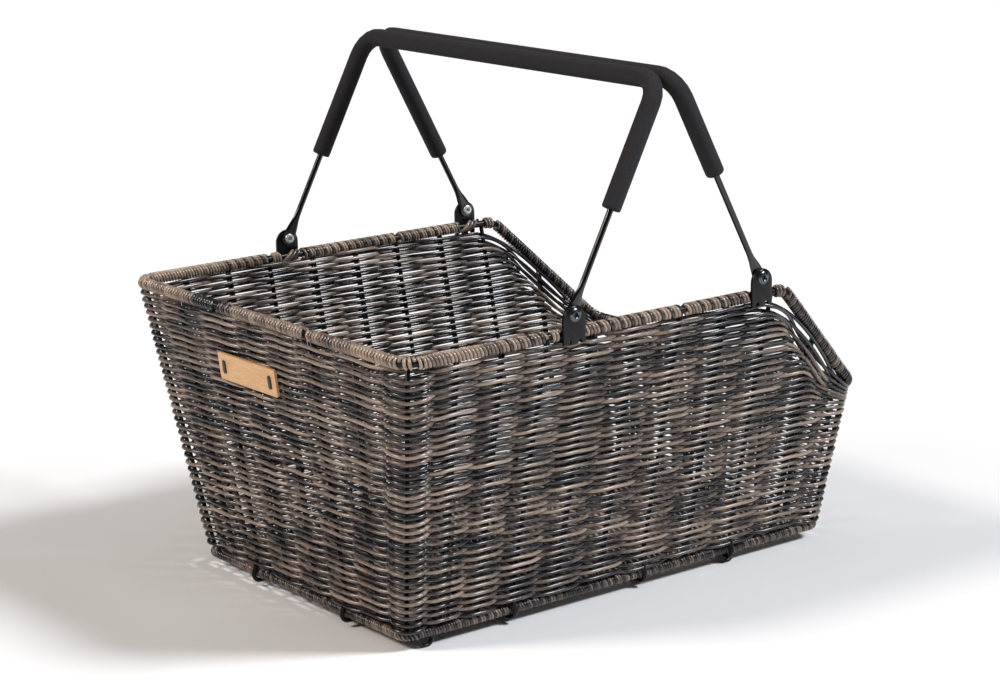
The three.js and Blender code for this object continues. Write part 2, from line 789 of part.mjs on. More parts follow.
function handleRod() {
  const start = spoonLength - spoonLap;
  const wire = new BentWire(handleCorners(start, start), handleBendRadius);
  const arch = rod(wire, handleRodDiameter, rodSides);
  const bar = join([arch, ...flattenedEnd(-1), ...flattenedEnd(1)]);
  const radius = rivetShankDiameter / 2 + fit;
  const bores = [-1, 1].map((side) => {
    const bore = new THREE.CylinderGeometry(radius, radius, 4 * eyeThickness, turnedSides);
    return bore.translate(0, side * legY, 0);
  });
  return cut(bar, bores);
}

function handleGrip(slide) {
  const corners = handleCorners(gripStart + slide, gripStart - slide);
  const wire = new BentWire(corners, handleBendRadius);
  return sleeve(wire, gripDiameter, handleRodDiameter + 2 * fit, bindingSides);
}

function makeHandles() {
  const reach = (frontPivotX - rearPivotX - gripDiameter - gripSpacing) / 2;
  const lean = Math.asin(reach / legLength);
  const handles = [
    { end: 'rear', x: rearPivotX, turn: lean, slide: rearGripSlide },
    { end: 'front', x: frontPivotX, turn: -lean, slide: frontGripSlide },
  ];
  for (const { end, x, turn, slide } of handles) {
    const handle = new THREE.Group();
    handle.position.set(x, 0, pivotZ);
    handle.rotation.y = turn;
    basket.add(handle);
    addPiece(`handle_rod_${end}`, handleRod(), steelBlack, handle);
    addPiece(`handle_grip_${end}`, handleGrip(slide), foamCharcoal, handle);
  }
}

// Bare plate on the rear wall, held by two clips that pass through it and the weave
function stadium(length, width) {
  const shape = new THREE.Shape();
  const straight = (length - width) / 2;
  shape.absarc(0, straight, width / 2, 0, Math.PI);
  shape.absarc(0, -straight, width / 2, Math.PI, 2 * Math.PI);
  return shape;
}

const rearUp = rimRear(1).sub(baseRear(1)).setY(0).normalize();
const platePlace = new THREE.Group();
platePlace.matrixAutoUpdate = false;
{
  const across = alongY.clone().negate();
  const outward = across.clone().cross(rearUp);
  const onWall = baseRear(1).setY(plateY);
  onWall.addScaledVector(rearUp, (plateZ - baseHeight) / rearUp.z);
  platePlace.matrix.makeBasis(across, rearUp, outward).setPosition(onWall);
}
const clipAcross = [-slotSpacing / 2, slotSpacing / 2];
const clipRoom = clipAcross.map((u) => {
  const shaft = slab(stadium(slotLength, slotWidth), -wallThickness, wallThickness);
  return shaft.translate(u, 0, 0).applyMatrix4(platePlace.matrix);
});

function makePlate() {
  basket.add(platePlace);
  const back = wallThickness / 2 + fit;
  const face = back + plateThickness;
  const halfLength = plateLength / 2 - plateCornerRadius;
  const halfHeight = plateHeight / 2 - plateCornerRadius;
  const outline = new THREE.Shape();
  outline.absarc(halfLength, halfHeight, plateCornerRadius, 0, Math.PI / 2);
  outline.absarc(-halfLength, halfHeight, plateCornerRadius, Math.PI / 2, Math.PI);
  outline.absarc(-halfLength, -halfHeight, plateCornerRadius, Math.PI, 1.5 * Math.PI);
  outline.absarc(halfLength, -halfHeight, plateCornerRadius, 1.5 * Math.PI, 2 * Math.PI);
  const slots = clipAcross.map((u) => {
    return slab(stadium(slotLength, slotWidth), 0, 2 * face).translate(u, 0, 0);
  });
  addPiece('badge_plate', cut(slab(outline, back, face), slots), bambooPale, platePlace);

  const headLength = slotLength + 2 * clipHeadMargin;
  const headWidth = slotWidth + 2 * clipHeadMargin;
  for (const [word, u] of [['far', clipAcross[0]], ['near', clipAcross[1]]]) {
    const inSlot = stadium(slotLength - 2 * fit, slotWidth - 2 * fit);
    const overSlot = stadium(headLength, headWidth);
    const shaft = slab(inSlot, -back - fit, face + 2 * fit);
    const head = slab(overSlot, face + fit, face + fit + clipHeadThickness);
    const foot = slab(overSlot, -back - clipHeadThickness, -back);
    const clip = join([shaft, head, foot]).translate(u, 0, 0);
    addPiece(`badge_clip_${word}`, clip, clipBlack, platePlace);
  }
}

makeFrames();
makeStakes();
makeEyes();
makeWalls();
makeFloor();
makeBindings();
makePivots();
makeHandles();
makePlate();

export default basket;
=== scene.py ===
# %% [markdown]
# # A woven bicycle basket
# The basket has a skeleton of black steel rod, walls and a floor woven from round plastic strand,
# the same strand wound close on the rim and the base ring, and two folding handles with foam grips.
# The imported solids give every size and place. This lesson dresses them, piece by piece, and each
# new piece rides on the body of the solid that it stands for.

# %% Load the frame
import math

import bmesh
import bpy
import numpy as np
from mathutils import Matrix, Vector, noise


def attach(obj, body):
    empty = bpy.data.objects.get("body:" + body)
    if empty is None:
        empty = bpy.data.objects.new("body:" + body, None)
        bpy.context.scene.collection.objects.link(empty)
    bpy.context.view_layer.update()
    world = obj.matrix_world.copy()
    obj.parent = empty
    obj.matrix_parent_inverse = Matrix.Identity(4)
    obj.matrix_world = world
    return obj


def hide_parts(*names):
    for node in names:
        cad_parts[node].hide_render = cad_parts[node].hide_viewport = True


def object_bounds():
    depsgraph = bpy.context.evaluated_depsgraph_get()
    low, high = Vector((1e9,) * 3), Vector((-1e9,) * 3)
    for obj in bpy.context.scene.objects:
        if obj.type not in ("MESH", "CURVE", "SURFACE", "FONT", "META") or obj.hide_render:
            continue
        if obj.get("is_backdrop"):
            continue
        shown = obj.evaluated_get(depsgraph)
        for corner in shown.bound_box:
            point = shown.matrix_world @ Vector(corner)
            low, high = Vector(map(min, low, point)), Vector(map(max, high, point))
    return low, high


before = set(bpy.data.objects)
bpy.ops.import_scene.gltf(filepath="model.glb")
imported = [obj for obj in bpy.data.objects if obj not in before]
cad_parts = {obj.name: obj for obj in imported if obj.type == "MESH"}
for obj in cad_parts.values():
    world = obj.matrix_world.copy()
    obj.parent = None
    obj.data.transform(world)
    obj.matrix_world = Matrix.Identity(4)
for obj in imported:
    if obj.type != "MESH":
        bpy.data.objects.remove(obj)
cad_low, cad_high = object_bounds()
MM = 0.001
print("solids", len(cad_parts), "box in mm", [round(v / MM) for v in cad_high - cad_low])

# %% [markdown]
# ## Camera
# The view was worked out from the corners of the rim and the base ring: the camera stands behind
# and to the left of the basket, a little above it, with a longish lens. Its three axes are written
# into the camera's matrix, so that the small roll is kept too.

# %% Camera
CAMERA_AZIMUTH = math.radians(-37.5)
CAMERA_RISE = math.radians(13.71)
CAMERA_ROLL = math.radians(-1.06)
CAMERA_DISTANCE = 2.102
CAMERA_TARGET = Vector((-0.00445, 0, 0.1809))
SENSOR_MM = 36
FOCAL_PIXELS = 2600
PHOTO_PIXELS = 1000


def camera_matrix():
    back = Vector((
        math.sin(CAMERA_AZIMUTH) * math.cos(CAMERA_RISE),
        -math.cos(CAMERA_AZIMUTH) * math.cos(CAMERA_RISE),
        math.sin(CAMERA_RISE),
    ))
    level = Vector((math.cos(CAMERA_AZIMUTH), math.sin(CAMERA_AZIMUTH), 0))
    upward = back.cross(level)
    right = level * math.cos(CAMERA_ROLL) + upward * math.sin(CAMERA_ROLL)
    up = upward * math.cos(CAMERA_ROLL) - level * math.sin(CAMERA_ROLL)
    matrix = Matrix((right, up, back)).transposed().to_4x4()
    matrix.translation = CAMERA_TARGET + back * CAMERA_DISTANCE
    return matrix


camera_data = bpy.data.cameras.new("studio_camera")
camera_data.sensor_width = SENSOR_MM
camera_data.lens = FOCAL_PIXELS * SENSOR_MM / PHOTO_PIXELS
camera = bpy.data.objects.new("studio_camera", camera_data)
camera.matrix_world = camera_matrix()
bpy.context.scene.collection.objects.link(camera)
bpy.context.scene.camera = camera
print("lens in mm", round(camera_data.lens, 1))

# %% [markdown]
# ## Materials
# Every finish is a Principled shader with a few nodes in front of it. One function turns a hex
# colour into Blender's linear colour, one adds a node with its settings and links, and one starts
# a material and gives back its tree and shader. Three more add what all finishes share: noise of
# a size in millimetres, a colour ramp and a bump.

# %% Helpers for materials
def colour(code):
    channels = [int(code[i:i + 2], 16) / 255 for i in (0, 2, 4)]
    linear = [c / 12.92 if c <= 0.04045 else ((c + 0.055) / 1.055) ** 2.4 for c in channels]
    return (*linear, 1)


def add_node(tree, kind, settings=None, values=None, links=None):
    node = tree.nodes.new(kind)
    for name, value in (settings or {}).items():
        setattr(node, name, value)
    for name, value in (values or {}).items():
        node.inputs[name].default_value = value
    for name, source in (links or {}).items():
        tree.links.new(source, node.inputs[name])
    return node


def start_material(name, values):
    material = bpy.data.materials.new(name)
    material.use_nodes = True
    tree = material.node_tree
    shader = tree.nodes["Principled BSDF"]
    for socket, value in values.items():
        shader.inputs[socket].default_value = value
    return material, tree, shader


def add_noise(tree, vector, size_mm, detail):
    values = {"Scale": 1 / (size_mm * MM), "Detail": detail}
    return add_node(tree, "ShaderNodeTexNoise", None, values, {"Vector": vector}).outputs["Fac"]


def colour_by(tree, shader, value, stops):
    """A number from 0 to 1 picks the base colour from a ramp."""
    ramp = add_node(tree, "ShaderNodeValToRGB", None, None, {"Fac": value})
    band = ramp.color_ramp
    while len(band.elements) < len(stops):
        band.elements.new(0.5)
    for element, (place, code) in zip(band.elements, stops):
        element.position = place
        element.color = colour(code)
    tree.links.new(ramp.outputs["Color"], shader.inputs["Base Color"])


def bump_by(tree, shader, height, strength, depth_mm):
    values = {"Strength": strength, "Distance": depth_mm * MM}
    bump = add_node(tree, "ShaderNodeBump", None, values, {"Height": height})
    tree.links.new(bump.outputs["Normal"], shader.inputs["Normal"])


# %% [markdown]
# ### Extruded polyethylene strand
# The strand is a solid plastic thread, extruded from two melts that run into each other, so one
# length is charcoal, then grey-brown, then tan. It is satin: a narrow light line runs along each
# strand. The mesh carries a number from 0 to 1 at each point, its tone, and a colour ramp turns
# that into the three colours. A fine streak pattern, drawn coarser than the real one so that it
# shows, breaks up the tone.

# %% Strand material
STREAK_MM, STREAK_DETAIL, STREAK_REACH = 4.0, 3.0, 0.16
STREAK_LOW, STREAK_HIGH = 0.25, 0.75
GRAIN_MM, GRAIN_DETAIL, GRAIN_STRENGTH, GRAIN_DEPTH_MM = 0.8, 2.0, 0.12, 0.1
STRAND_IOR = 1.65


def strand_material(name, stops, roughness):
    material, tree, shader = start_material(name, {"Roughness": roughness, "IOR": STRAND_IOR})
    place = add_node(tree, "ShaderNodeTexCoord").outputs["Object"]
    tone = add_node(tree, "ShaderNodeAttribute", {"attribute_name": "tone"}).outputs["Fac"]
    streak = add_noise(tree, place, STREAK_MM, STREAK_DETAIL)
    spread = add_node(
        tree, "ShaderNodeMapRange", None,
        {"From Min": STREAK_LOW, "From Max": STREAK_HIGH,
         "To Min": -STREAK_REACH, "To Max": STREAK_REACH},
        {"Value": streak}).outputs["Result"]
    mixed = add_node(tree, "ShaderNodeMath", {"operation": "ADD"}, None, {0: tone, 1: spread})
    colour_by(tree, shader, mixed.outputs["Value"], stops)
    grain = add_noise(tree, place, GRAIN_MM, GRAIN_DETAIL)
    bump_by(tree, shader, grain, GRAIN_STRENGTH, GRAIN_DEPTH_MM)
    return material


STRAND_STOPS = [(0.0, "0a0a0d"), (0.3, "201f24"), (0.56, "63574f"), (1.0, "a08d7e")]
woven_polyethylene = strand_material("extruded_polyethylene_strand", STRAND_STOPS, 0.26)
WOUND_STOPS = [(0.0, "141214"), (0.3, "2e2a2a"), (0.6, "75675b"), (1.0, "ad9884")]
wound_polyethylene = strand_material("wound_polyethylene_strand", WOUND_STOPS, 0.2)

# %% [markdown]
# ### Powder-coated steel, foam, zinc, bamboo and moulded plastic
# The frame and the brackets are steel under a black powder coat, which leaves a faint orange peel,
# and the handle rods have a smoother coat, so a narrow light line runs along them.
# The grips are closed-cell rubber foam, quite matt, with open pores. The inner rivet ends are bright
# zinc. The plate is bamboo cut along the stem, so fine fibres run along its length.

# %% Steel, foam, zinc, bamboo and plastic
PEEL_MM = 1.2
PORE_MM = 0.7
FIBRE_MM = 0.6
FINISH_DETAIL = 4.0


def grained_material(name, values, stops, size_mm, stretch, strength, depth_mm):
    material, tree, shader = start_material(name, values)
    place = add_node(tree, "ShaderNodeTexCoord").outputs["Object"]
    drawn = add_node(tree, "ShaderNodeMapping", None, {"Scale": stretch}, {"Vector": place})
    grain = add_noise(tree, drawn.outputs["Vector"], size_mm, FINISH_DETAIL)
    colour_by(tree, shader, grain, stops)
    bump_by(tree, shader, grain, strength, depth_mm)
    return material


EVEN, ALONG_Y = (1, 1, 1), (1, 0.06, 1)
powder_coat = grained_material(
    "powder_coated_steel", {"Roughness": 0.28, "IOR": 1.36},
    [(0.35, "0b0b0c"), (0.65, "111113")], PEEL_MM, EVEN, 0.08, 0.1)
gloss_coat = grained_material(
    "gloss_coated_steel_rod", {"Roughness": 0.16, "IOR": 1.6},
    [(0.35, "08080a"), (0.65, "0d0d0f")], PEEL_MM, EVEN, 0.04, 0.1)
rubber_foam = grained_material(
    "closed_cell_rubber_foam", {"Roughness": 0.92, "IOR": 1.45, "Specular IOR Level": 0.3},
    [(0.3, "232224"), (0.7, "353436")], PORE_MM, EVEN, 0.5, 0.25)
bright_zinc = grained_material(
    "bright_zinc_plate", {"Roughness": 0.35, "Metallic": 0.5},
    [(0.3, "d2d2d4"), (0.7, "ececec")], PEEL_MM, EVEN, 0.05, 0.05)
polished_steel = grained_material(
    "polished_black_steel", {"Roughness": 0.26, "Metallic": 1.0},
    [(0.3, "585b60"), (0.7, "686b70")], PEEL_MM, EVEN, 0.04, 0.05)
bamboo_veneer = grained_material(
    "varnished_bamboo", {"Roughness": 0.45, "IOR": 1.5},
    [(0.3, "cf9f6b"), (0.5, "dcae7b"), (0.7, "e6bd8d")], FIBRE_MM, ALONG_Y, 0.1, 0.1)
black_nylon = grained_material(
    "moulded_black_nylon", {"Roughness": 0.45, "IOR": 1.53},
    [(0.3, "171718"), (0.7, "222224")], PEEL_MM, EVEN, 0.1, 0.1)
print("materials", sorted(m.name for m in bpy.data.materials if m.use_nodes and m.users == 0))

# %% [markdown]
# ## Two tools for making pieces
# Most of the basket is round thread, wire and rod. A Blender curve with a round bevel makes all of
# these from a centre line, and it is turned into a mesh at once, so that each point of the mesh can
# carry its tone. Turned and stamped pieces start in a bmesh and use its operators. Both end in the
# same way: the piece rides on a body, stands for its solids and gets its finish.

# %% Tools
CREASE = math.radians(35)
STRAIGHT = 1e-3


def dress(piece, body, nodes, material):
    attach(piece, body)
    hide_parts(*nodes)
    if not piece.data.materials:
        piece.data.materials.append(material)
    return piece


def tube_mesh(name, runs, radius, rounding, girths=None):
    """Round threads as one mesh. A run is a list of points in mm and their tones, or one tone."""
    curve = bpy.data.curves.new(name, "CURVE")
    curve.dimensions = "3D"
    curve.bevel_depth = radius * MM
    curve.bevel_resolution = rounding
    for points, _ in runs:
        spline = curve.splines.new("POLY")
        spline.points.add(len(points) - 1)
        rows = np.ones((len(points), 4), np.float32)
        rows[:, :3] = np.array(points) * MM
        spline.points.foreach_set("co", rows.ravel())
        if girths is not None:
            spline.points.foreach_set("radius", np.array(girths, np.float32))
    holder = bpy.data.objects.new(name, curve)
    bpy.context.scene.collection.objects.link(holder)
    graph = bpy.context.evaluated_depsgraph_get()
    mesh = bpy.data.meshes.new_from_object(holder.evaluated_get(graph))
    bpy.data.objects.remove(holder)
    bpy.data.curves.remove(curve)
    tones = np.concatenate([np.broadcast_to(tone, len(points)) for points, tone in runs])
    around = len(mesh.vertices) // len(tones)
    layer = mesh.attributes.new("tone", "FLOAT", "POINT")
    layer.data.foreach_set("value", np.repeat(tones.astype(np.float32), around))
    capped = bmesh.new()
    capped.from_mesh(mesh)
    bmesh.ops.holes_fill(capped, edges=[e for e in capped.edges if e.is_boundary], sides=0)
    for face in capped.faces:
        face.smooth = len(face.verts) == 4
    capped.to_mesh(mesh)
    capped.free()
    return mesh


def place_mesh(name, mesh):
    piece = bpy.data.objects.new(name, mesh)
    bpy.context.scene.collection.objects.link(piece)
    return piece


def place_threads(name, node, runs, radius, rounding, material):
    """Threads of the basket, as a piece that stands for one solid."""
    mesh = tube_mesh(name, runs, radius, rounding)
    dress(place_mesh(name, mesh), "basket", [node], material)
    return mesh


def count_triangles(mesh):
    return sum(p.loop_total - 2 for p in mesh.polygons)


def add_bmesh(shape, extra):
    """Adds a second bmesh to the first."""
    spare = bpy.data.meshes.new("spare")
    extra.to_mesh(spare)
    extra.free()
    shape.from_mesh(spare)
    bpy.data.meshes.remove(spare)


def add_mesh(mesh, extra):
    """Adds a second mesh to the first."""
    joined = bmesh.new()
    joined.from_mesh(mesh)
    joined.from_mesh(extra)
    joined.to_mesh(mesh)
    joined.free()
    bpy.data.meshes.remove(extra)


def place_bmesh(name, shape, turn):
    """A bmesh drawn in mm becomes a piece at its place, shaded smooth where edges are soft."""
    bmesh.ops.recalc_face_normals(shape, faces=shape.faces[:])
    shape.transform(Matrix.Scale(MM, 4) @ turn)
    for face in shape.faces:
        face.smooth = True
    for edge in shape.edges:
        edge.smooth = len(edge.link_faces) == 2 and edge.calc_face_angle() < CREASE
    mesh = bpy.data.meshes.new(name)
    shape.to_mesh(mesh)
    shape.free()
    return place_mesh(name, mesh)


def bent(corners, radii, steps):
    """A centre line with rounded corners: straight runs joined by arcs."""
    line = [Vector(corners[0])]
    for i in range(1, len(corners) - 1):
        before, corner, after = (Vector(c) for c in corners[i - 1:i + 2])
        arriving = (corner - before).normalized()
        leaving = (after - corner).normalized()
        turn = arriving.angle(leaving)
        if turn < STRAIGHT:
            continue
        inward = (leaving - arriving * leaving.dot(arriving)).normalized()
        radius = radii[i - 1]
        start = corner - arriving * radius * math.tan(turn / 2)
        for k in range(steps + 1):
            angle = turn * k / steps
            line.append(start + radius * (arriving * math.sin(angle) + inward * (1 - math.cos(angle))))
    line.append(Vector(corners[-1]))
    return line


# %% [markdown]
# ## Sizes of the frame
# These are the part's own sizes, in millimetres, between the centre lines of the rods. The rim is
# level at the rear and slopes down to a low front. The walls lean out, so the rim is wider than
# the base ring.

# %% Sizes
REAR_X, FRONT_X = -230.0, 230.0
SLOPE_X = 132.5
RIM_Z, LOW_Z, BASE_Z = 233.0, 135.5, 11.5
RIM_HALF, BASE_HALF = 186.0, 136.0
BASE_REAR_X, BASE_FRONT_X = -201.7, 219.6
RIM_BEND, SLOPE_BEND, BASE_BEND = 15.0, 20.0, 9.0
RIM_ROD, BASE_ROD, STAKE_WIRE, EYE_WIRE, HANDLE_ROD = 6.0, 5.0, 3.6, 3.2, 4.8
LOW_HALF = BASE_HALF + (RIM_HALF - BASE_HALF) * (LOW_Z - BASE_Z) / (RIM_Z - BASE_Z)
SIDES = {"near": -1, "far": 1}
PIVOT_X = {"rear": -82.5, "front": 104.5}
PIVOT_Z = 247.5
CROSS_WIRE_X = [-104.0, 26.0, 119.0]
LONG_WIRE_Y = 62.0


def rim_corners(side):
    return [(REAR_X, side * RIM_HALF, RIM_Z), (SLOPE_X, side * RIM_HALF, RIM_Z),
            (FRONT_X, side * LOW_HALF, LOW_Z)]


def base_corners(side):
    return [(BASE_REAR_X, side * BASE_HALF, BASE_Z), (BASE_FRONT_X, side * BASE_HALF, BASE_Z)]


def four_places(along):
    """For feet, brackets and rivets: the end of a node's name, the place along X and the side."""
    return [(f"{end}_{word}", x, side) for end, x in along.items() for word, side in SIDES.items()]


print("low half width in mm", round(LOW_HALF, 1))

# %% [markdown]
# ## Rim rod and base ring
# Two loops of black rod, each bent from one length, with the ends meeting at the middle of the rear.
# Most of the rod is hidden by the winding, and it shows at the brackets and beside the stakes.

# %% Rim rod and base ring
BEND_STEPS = 10


def loop_line(near, far, radii):
    rear_x, _, height = near[0]
    ends = (rear_x, 0, height)
    return bent([ends, *near, *reversed(far), ends], radii, BEND_STEPS)


rim_line = loop_line(rim_corners(-1), rim_corners(1),
                     [RIM_BEND, SLOPE_BEND, RIM_BEND, RIM_BEND, SLOPE_BEND, RIM_BEND])
base_line = loop_line(base_corners(-1), base_corners(1), [BASE_BEND] * 4)
ROD_ROUNDING = 4
for name, node, line, size in (("rim_rod", "rim_frame", rim_line, RIM_ROD),
                               ("base_rod", "base_frame", base_line, BASE_ROD)):
    mesh = place_threads(name, node, [(line, 0)], size / 2, ROD_ROUNDING, powder_coat)
    print(name, "triangles", count_triangles(mesh))

# %% [markdown]
# ## Steel stakes, corner posts and feet
# Black wires stand in the weave. Each cross wire runs from the rim down one wall, hooks round the
# outside of the base ring, crosses under the floor and climbs the other wall. The long wires do the
# same from end to end. A short post stands in each corner, and four bent wires under the ring are
# the feet. Their undersides are pressed flat, so the lowest points are simply lifted to the ground.

# %% Stakes, posts and feet
HOOK_OUT = 6.4
HOOK_RISE = 15.0
JOGGLE = 16.0
CROSS_Z, LONG_Z = 5.1, 9.0
# Radii of the bends, from the top of a stake to its run under the floor
STAKE_BENDS = [HOOK_RISE / 3, HOOK_OUT / 3, HOOK_OUT * 0.9, JOGGLE / 3, JOGGLE / 3]
WIRE_BEND_STEPS = 5
WIRE_ROUNDING = 3


def stake_half(top, foot, outward, level):
    top, foot, outward = Vector(top), Vector(foot), Vector(outward)
    beside = foot + outward * HOOK_OUT
    under = Vector((beside.x, beside.y, CROSS_Z))
    inside = under - outward * 2 * HOOK_OUT
    run = inside - outward * JOGGLE
    run.z = level
    return [top, foot + (top - foot).normalized() * HOOK_RISE, beside, under, inside, run]


def stake_line(first, second):
    return bent(first + second[::-1], STAKE_BENDS + STAKE_BENDS[::-1], WIRE_BEND_STEPS)


stakes = {}
for word, x in zip(("rear", "middle", "front"), CROSS_WIRE_X):
    halves = [stake_half((x, s * RIM_HALF, RIM_Z), (x, s * BASE_HALF, BASE_Z), (0, s, 0), CROSS_Z)
              for s in (-1, 1)]
    stakes["cross_wire_" + word] = stake_line(*halves)
for word, side in SIDES.items():
    y = side * LONG_WIRE_Y
    rear = stake_half((REAR_X, y, RIM_Z), (BASE_REAR_X, y, BASE_Z), (-1, 0, 0), LONG_Z)
    front = stake_half((FRONT_X, y, LOW_Z), (BASE_FRONT_X, y, BASE_Z), (1, 0, 0), LONG_Z)
    stakes["long_wire_" + word] = stake_line(rear, front)


def corner_middle(before, corner, after, radius):
    return bent([before, corner, after], [radius], 2)[2]


for word, side in SIDES.items():
    rim, other_rim = rim_corners(side), rim_corners(-side)
    base, other_base = base_corners(side), base_corners(-side)
    stakes["corner_post_rear_" + word] = [
        corner_middle(other_base[0], base[0], base[1], BASE_BEND),
        corner_middle(other_rim[0], rim[0], rim[1], RIM_BEND)]
    stakes["corner_post_front_" + word] = [
        corner_middle(base[0], base[1], other_base[1], BASE_BEND),
        corner_middle(rim[1], rim[2], other_rim[2], RIM_BEND)]
for node, line in stakes.items():
    place_threads(
        node + "_steel", node, [(line, 0)], STAKE_WIRE / 2, WIRE_ROUNDING, powder_coat)

EYE_X = {"rear": -183.7, "front": 119.0}
EYE_HALF = 6.2
EYE_BEND = 5.95
PRESSED = 0.5
EYE_LOW = EYE_WIRE / 2 - PRESSED
for place, x, side in four_places(EYE_X):
    node = "mounting_eye_" + place
    y = side * BASE_HALF
    line = bent([(x - EYE_HALF, y, BASE_Z), (x - EYE_HALF, y, EYE_LOW),
                 (x + EYE_HALF, y, EYE_LOW), (x + EYE_HALF, y, BASE_Z)],
                [EYE_BEND, EYE_BEND], BEND_STEPS)
    mesh = tube_mesh(node + "_wire", [(line, 0)], EYE_WIRE / 2, WIRE_ROUNDING)
    for point in mesh.vertices:
        point.co.z = max(point.co.z, 0)
    dress(place_mesh(node + "_wire", mesh), "basket", [node], powder_coat)
print("steel wires", len(stakes), "feet", len(EYE_X) * len(SIDES))

# %% [markdown]
# ## Where a strand runs
# At any height the walls make a rounded rectangle. A strand goes round it and passes each stake
# on the outside or the inside in turn. So a place on the wall is given by two numbers: how many
# stakes it has passed, counted from the near rear corner, and its height. There are ten spaces
# between stakes on a long side and seven on an end, 34 in all, an even number, so a strand that
# closes its loop meets itself in step.

# %% Wall places
LONG_SPACES, END_SPACES = 10, 7
LOOP = 2 * (LONG_SPACES + END_SPACES)
CORNERS = [0, LONG_SPACES, LONG_SPACES + END_SPACES, 2 * LONG_SPACES + END_SPACES, LOOP]
SIDE_LEAN = (RIM_HALF - BASE_HALF) / (RIM_Z - BASE_Z)
REAR_LEAN = (BASE_REAR_X - REAR_X) / (RIM_Z - BASE_Z)
FRONT_LEAN = (FRONT_X - BASE_FRONT_X) / (LOW_Z - BASE_Z)
X_AXIS, Y_AXIS = Vector((1, 0)), Vector((0, 1))
# Each side: direction of travel, way out and lean
RUNS = [
    (X_AXIS, -Y_AXIS, SIDE_LEAN), (Y_AXIS, X_AXIS, FRONT_LEAN),
    (-X_AXIS, Y_AXIS, SIDE_LEAN), (-Y_AXIS, -X_AXIS, REAR_LEAN),
]


def wall_box(z):
    rise = z - BASE_Z
    share = rise / (RIM_Z - BASE_Z)
    front_share = rise / (LOW_Z - BASE_Z)
    half = BASE_HALF + SIDE_LEAN * rise
    rear_bend = BASE_BEND + (RIM_BEND - BASE_BEND) * share
    front_bend = BASE_BEND + (RIM_BEND - BASE_BEND) * front_share
    return BASE_REAR_X - REAR_LEAN * rise, BASE_FRONT_X + FRONT_LEAN * rise, half, rear_bend, front_bend


def stake_places(known, first, last):
    """Places of all stakes on a side, from the few that are known; the others share the spaces."""
    marks = {0: first, **known[1], known[0]: last}
    order = sorted(marks)
    return np.interp(range(known[0] + 1), order, [marks[i] for i in order])


NEAR_KNOWN = (LONG_SPACES, dict(zip((3, 6, 8), CROSS_WIRE_X)))
FAR_KNOWN = (LONG_SPACES, dict(zip((2, 4, 7), [-x for x in reversed(CROSS_WIRE_X)])))
END_KNOWN = (END_SPACES, {2: -LONG_WIRE_Y, 5: LONG_WIRE_Y})
KNOWN = [NEAR_KNOWN, END_KNOWN, FAR_KNOWN, END_KNOWN]


def wall_place(turn, z):
    """The point on the middle of the wall, and the way out of the wall there."""
    turn = turn % LOOP
    run = max(i for i in range(4) if CORNERS[i] <= turn)
    along, out, lean = RUNS[run]
    rear, front, half, rear_bend, front_bend = wall_box(z)
    lo, hi, depth, first_bend, last_bend = [
        (rear, front, half, rear_bend, front_bend), (-half, half, front, front_bend, front_bend),
        (-front, -rear, half, front_bend, rear_bend), (-half, half, -rear, rear_bend, rear_bend)][run]
    start, end = lo + first_bend, hi - last_bend
    quarter = math.pi / 4
    spots = stake_places(KNOWN[run], start - first_bend * quarter, end + last_bend * quarter)
    at = np.interp(turn - CORNERS[run], range(len(spots)), spots)
    bend = first_bend if at < start else last_bend
    angle = min(at - start, 0) / first_bend + max(at - end, 0) / last_bend
    middle = along * min(max(at, start), end) + out * (depth - bend)
    facing = out * math.cos(angle) + along * math.sin(angle)
    spot = middle + facing * bend
    return Vector((spot.x, spot.y, z)), Vector((facing.x, facing.y, -lean)).normalized()


print("stakes round the basket", LOOP, "corner at", [round(v) for v in wall_place(0, BASE_Z)[0]])

# %% [markdown]
# ## Rows of the weave
# The lower rows go all the way round. The upper rows stop at the slope. Most of them run level until
# they meet it, dip under it and end inside the basket. Twelve of them, the followers, turn down and
# run along the slope to the low corner, one under the other, and six of these go on round the
# front. A row's height along a side is therefore the lower of two lines, its level line and its
# line under the slope, with a soft bend where they meet. Places along a side are counted in stakes
# from its rear corner.

# %% Row heights
STEPS = 10
STRAND = 3.0
FIRST_ROW_Z = 17.0
FULL_ROWS, SHORT_ROWS = 34, 40
REAR_PITCH, FRONT_PITCH = 3.0, 2.85
TOP_Z = [224.2, 225.6] + [226.0] * (LONG_SPACES - 1)
REAR_BULGE = 2.0
FOLLOWERS = [39, 38, 37, 36, 31, 26, 21, 16, 12, 8, 4, 1]
FRONT_ROWS = [39, 36, 31, 26, 21, 16]
UNDER_RIM, UNDER_STEP = 9.2, 3.3
CORNER_UNDER, CORNER_STEP = 7.5, 1.4
SOFT_BEND = 8.0
END_DIP = 4.0
CORNER_FROM = 9.2
FIRST_FOLLOWERS = 4
LEVEL_STEP = 2.8
SLOPE_FROM, SLOPE_EASE = 7.2, 1.4
CLEAR_ABOVE = 14.0
RIM_SOFTENING = [-0.3, -0.15, 0, 0.15, 0.3]
RIM_ROUNDS = 6


def soft_step(share):
    share = min(max(share, 0), 1)
    return share * share * (3 - 2 * share)


def row_pitch(place):
    return REAR_PITCH + (FRONT_PITCH - REAR_PITCH) * soft_step(place / LONG_SPACES)


def full_row_heights(row):
    side = [FIRST_ROW_Z + row * row_pitch(i) for i in range(LONG_SPACES + 1)]
    front = [side[-1]] * (END_SPACES - 1)
    rear = [side[0]] * (END_SPACES - 1)
    return side + front + side[::-1] + rear


def smooth_height(heights, place):
    """Height between stakes, on a soft curve through the heights at the stakes."""
    i = min(int(place), len(heights) - 2)
    t = place - i
    p0, p1, p2, p3 = (heights[min(max(k, 0), len(heights) - 1)] for k in (i - 1, i, i + 1, i + 2))
    return p1 + t / 2 * (p2 - p0 + t * (2 * p0 - 5 * p1 + 4 * p2 - p3 + t * (3 * (p1 - p2) + p3 - p0)))


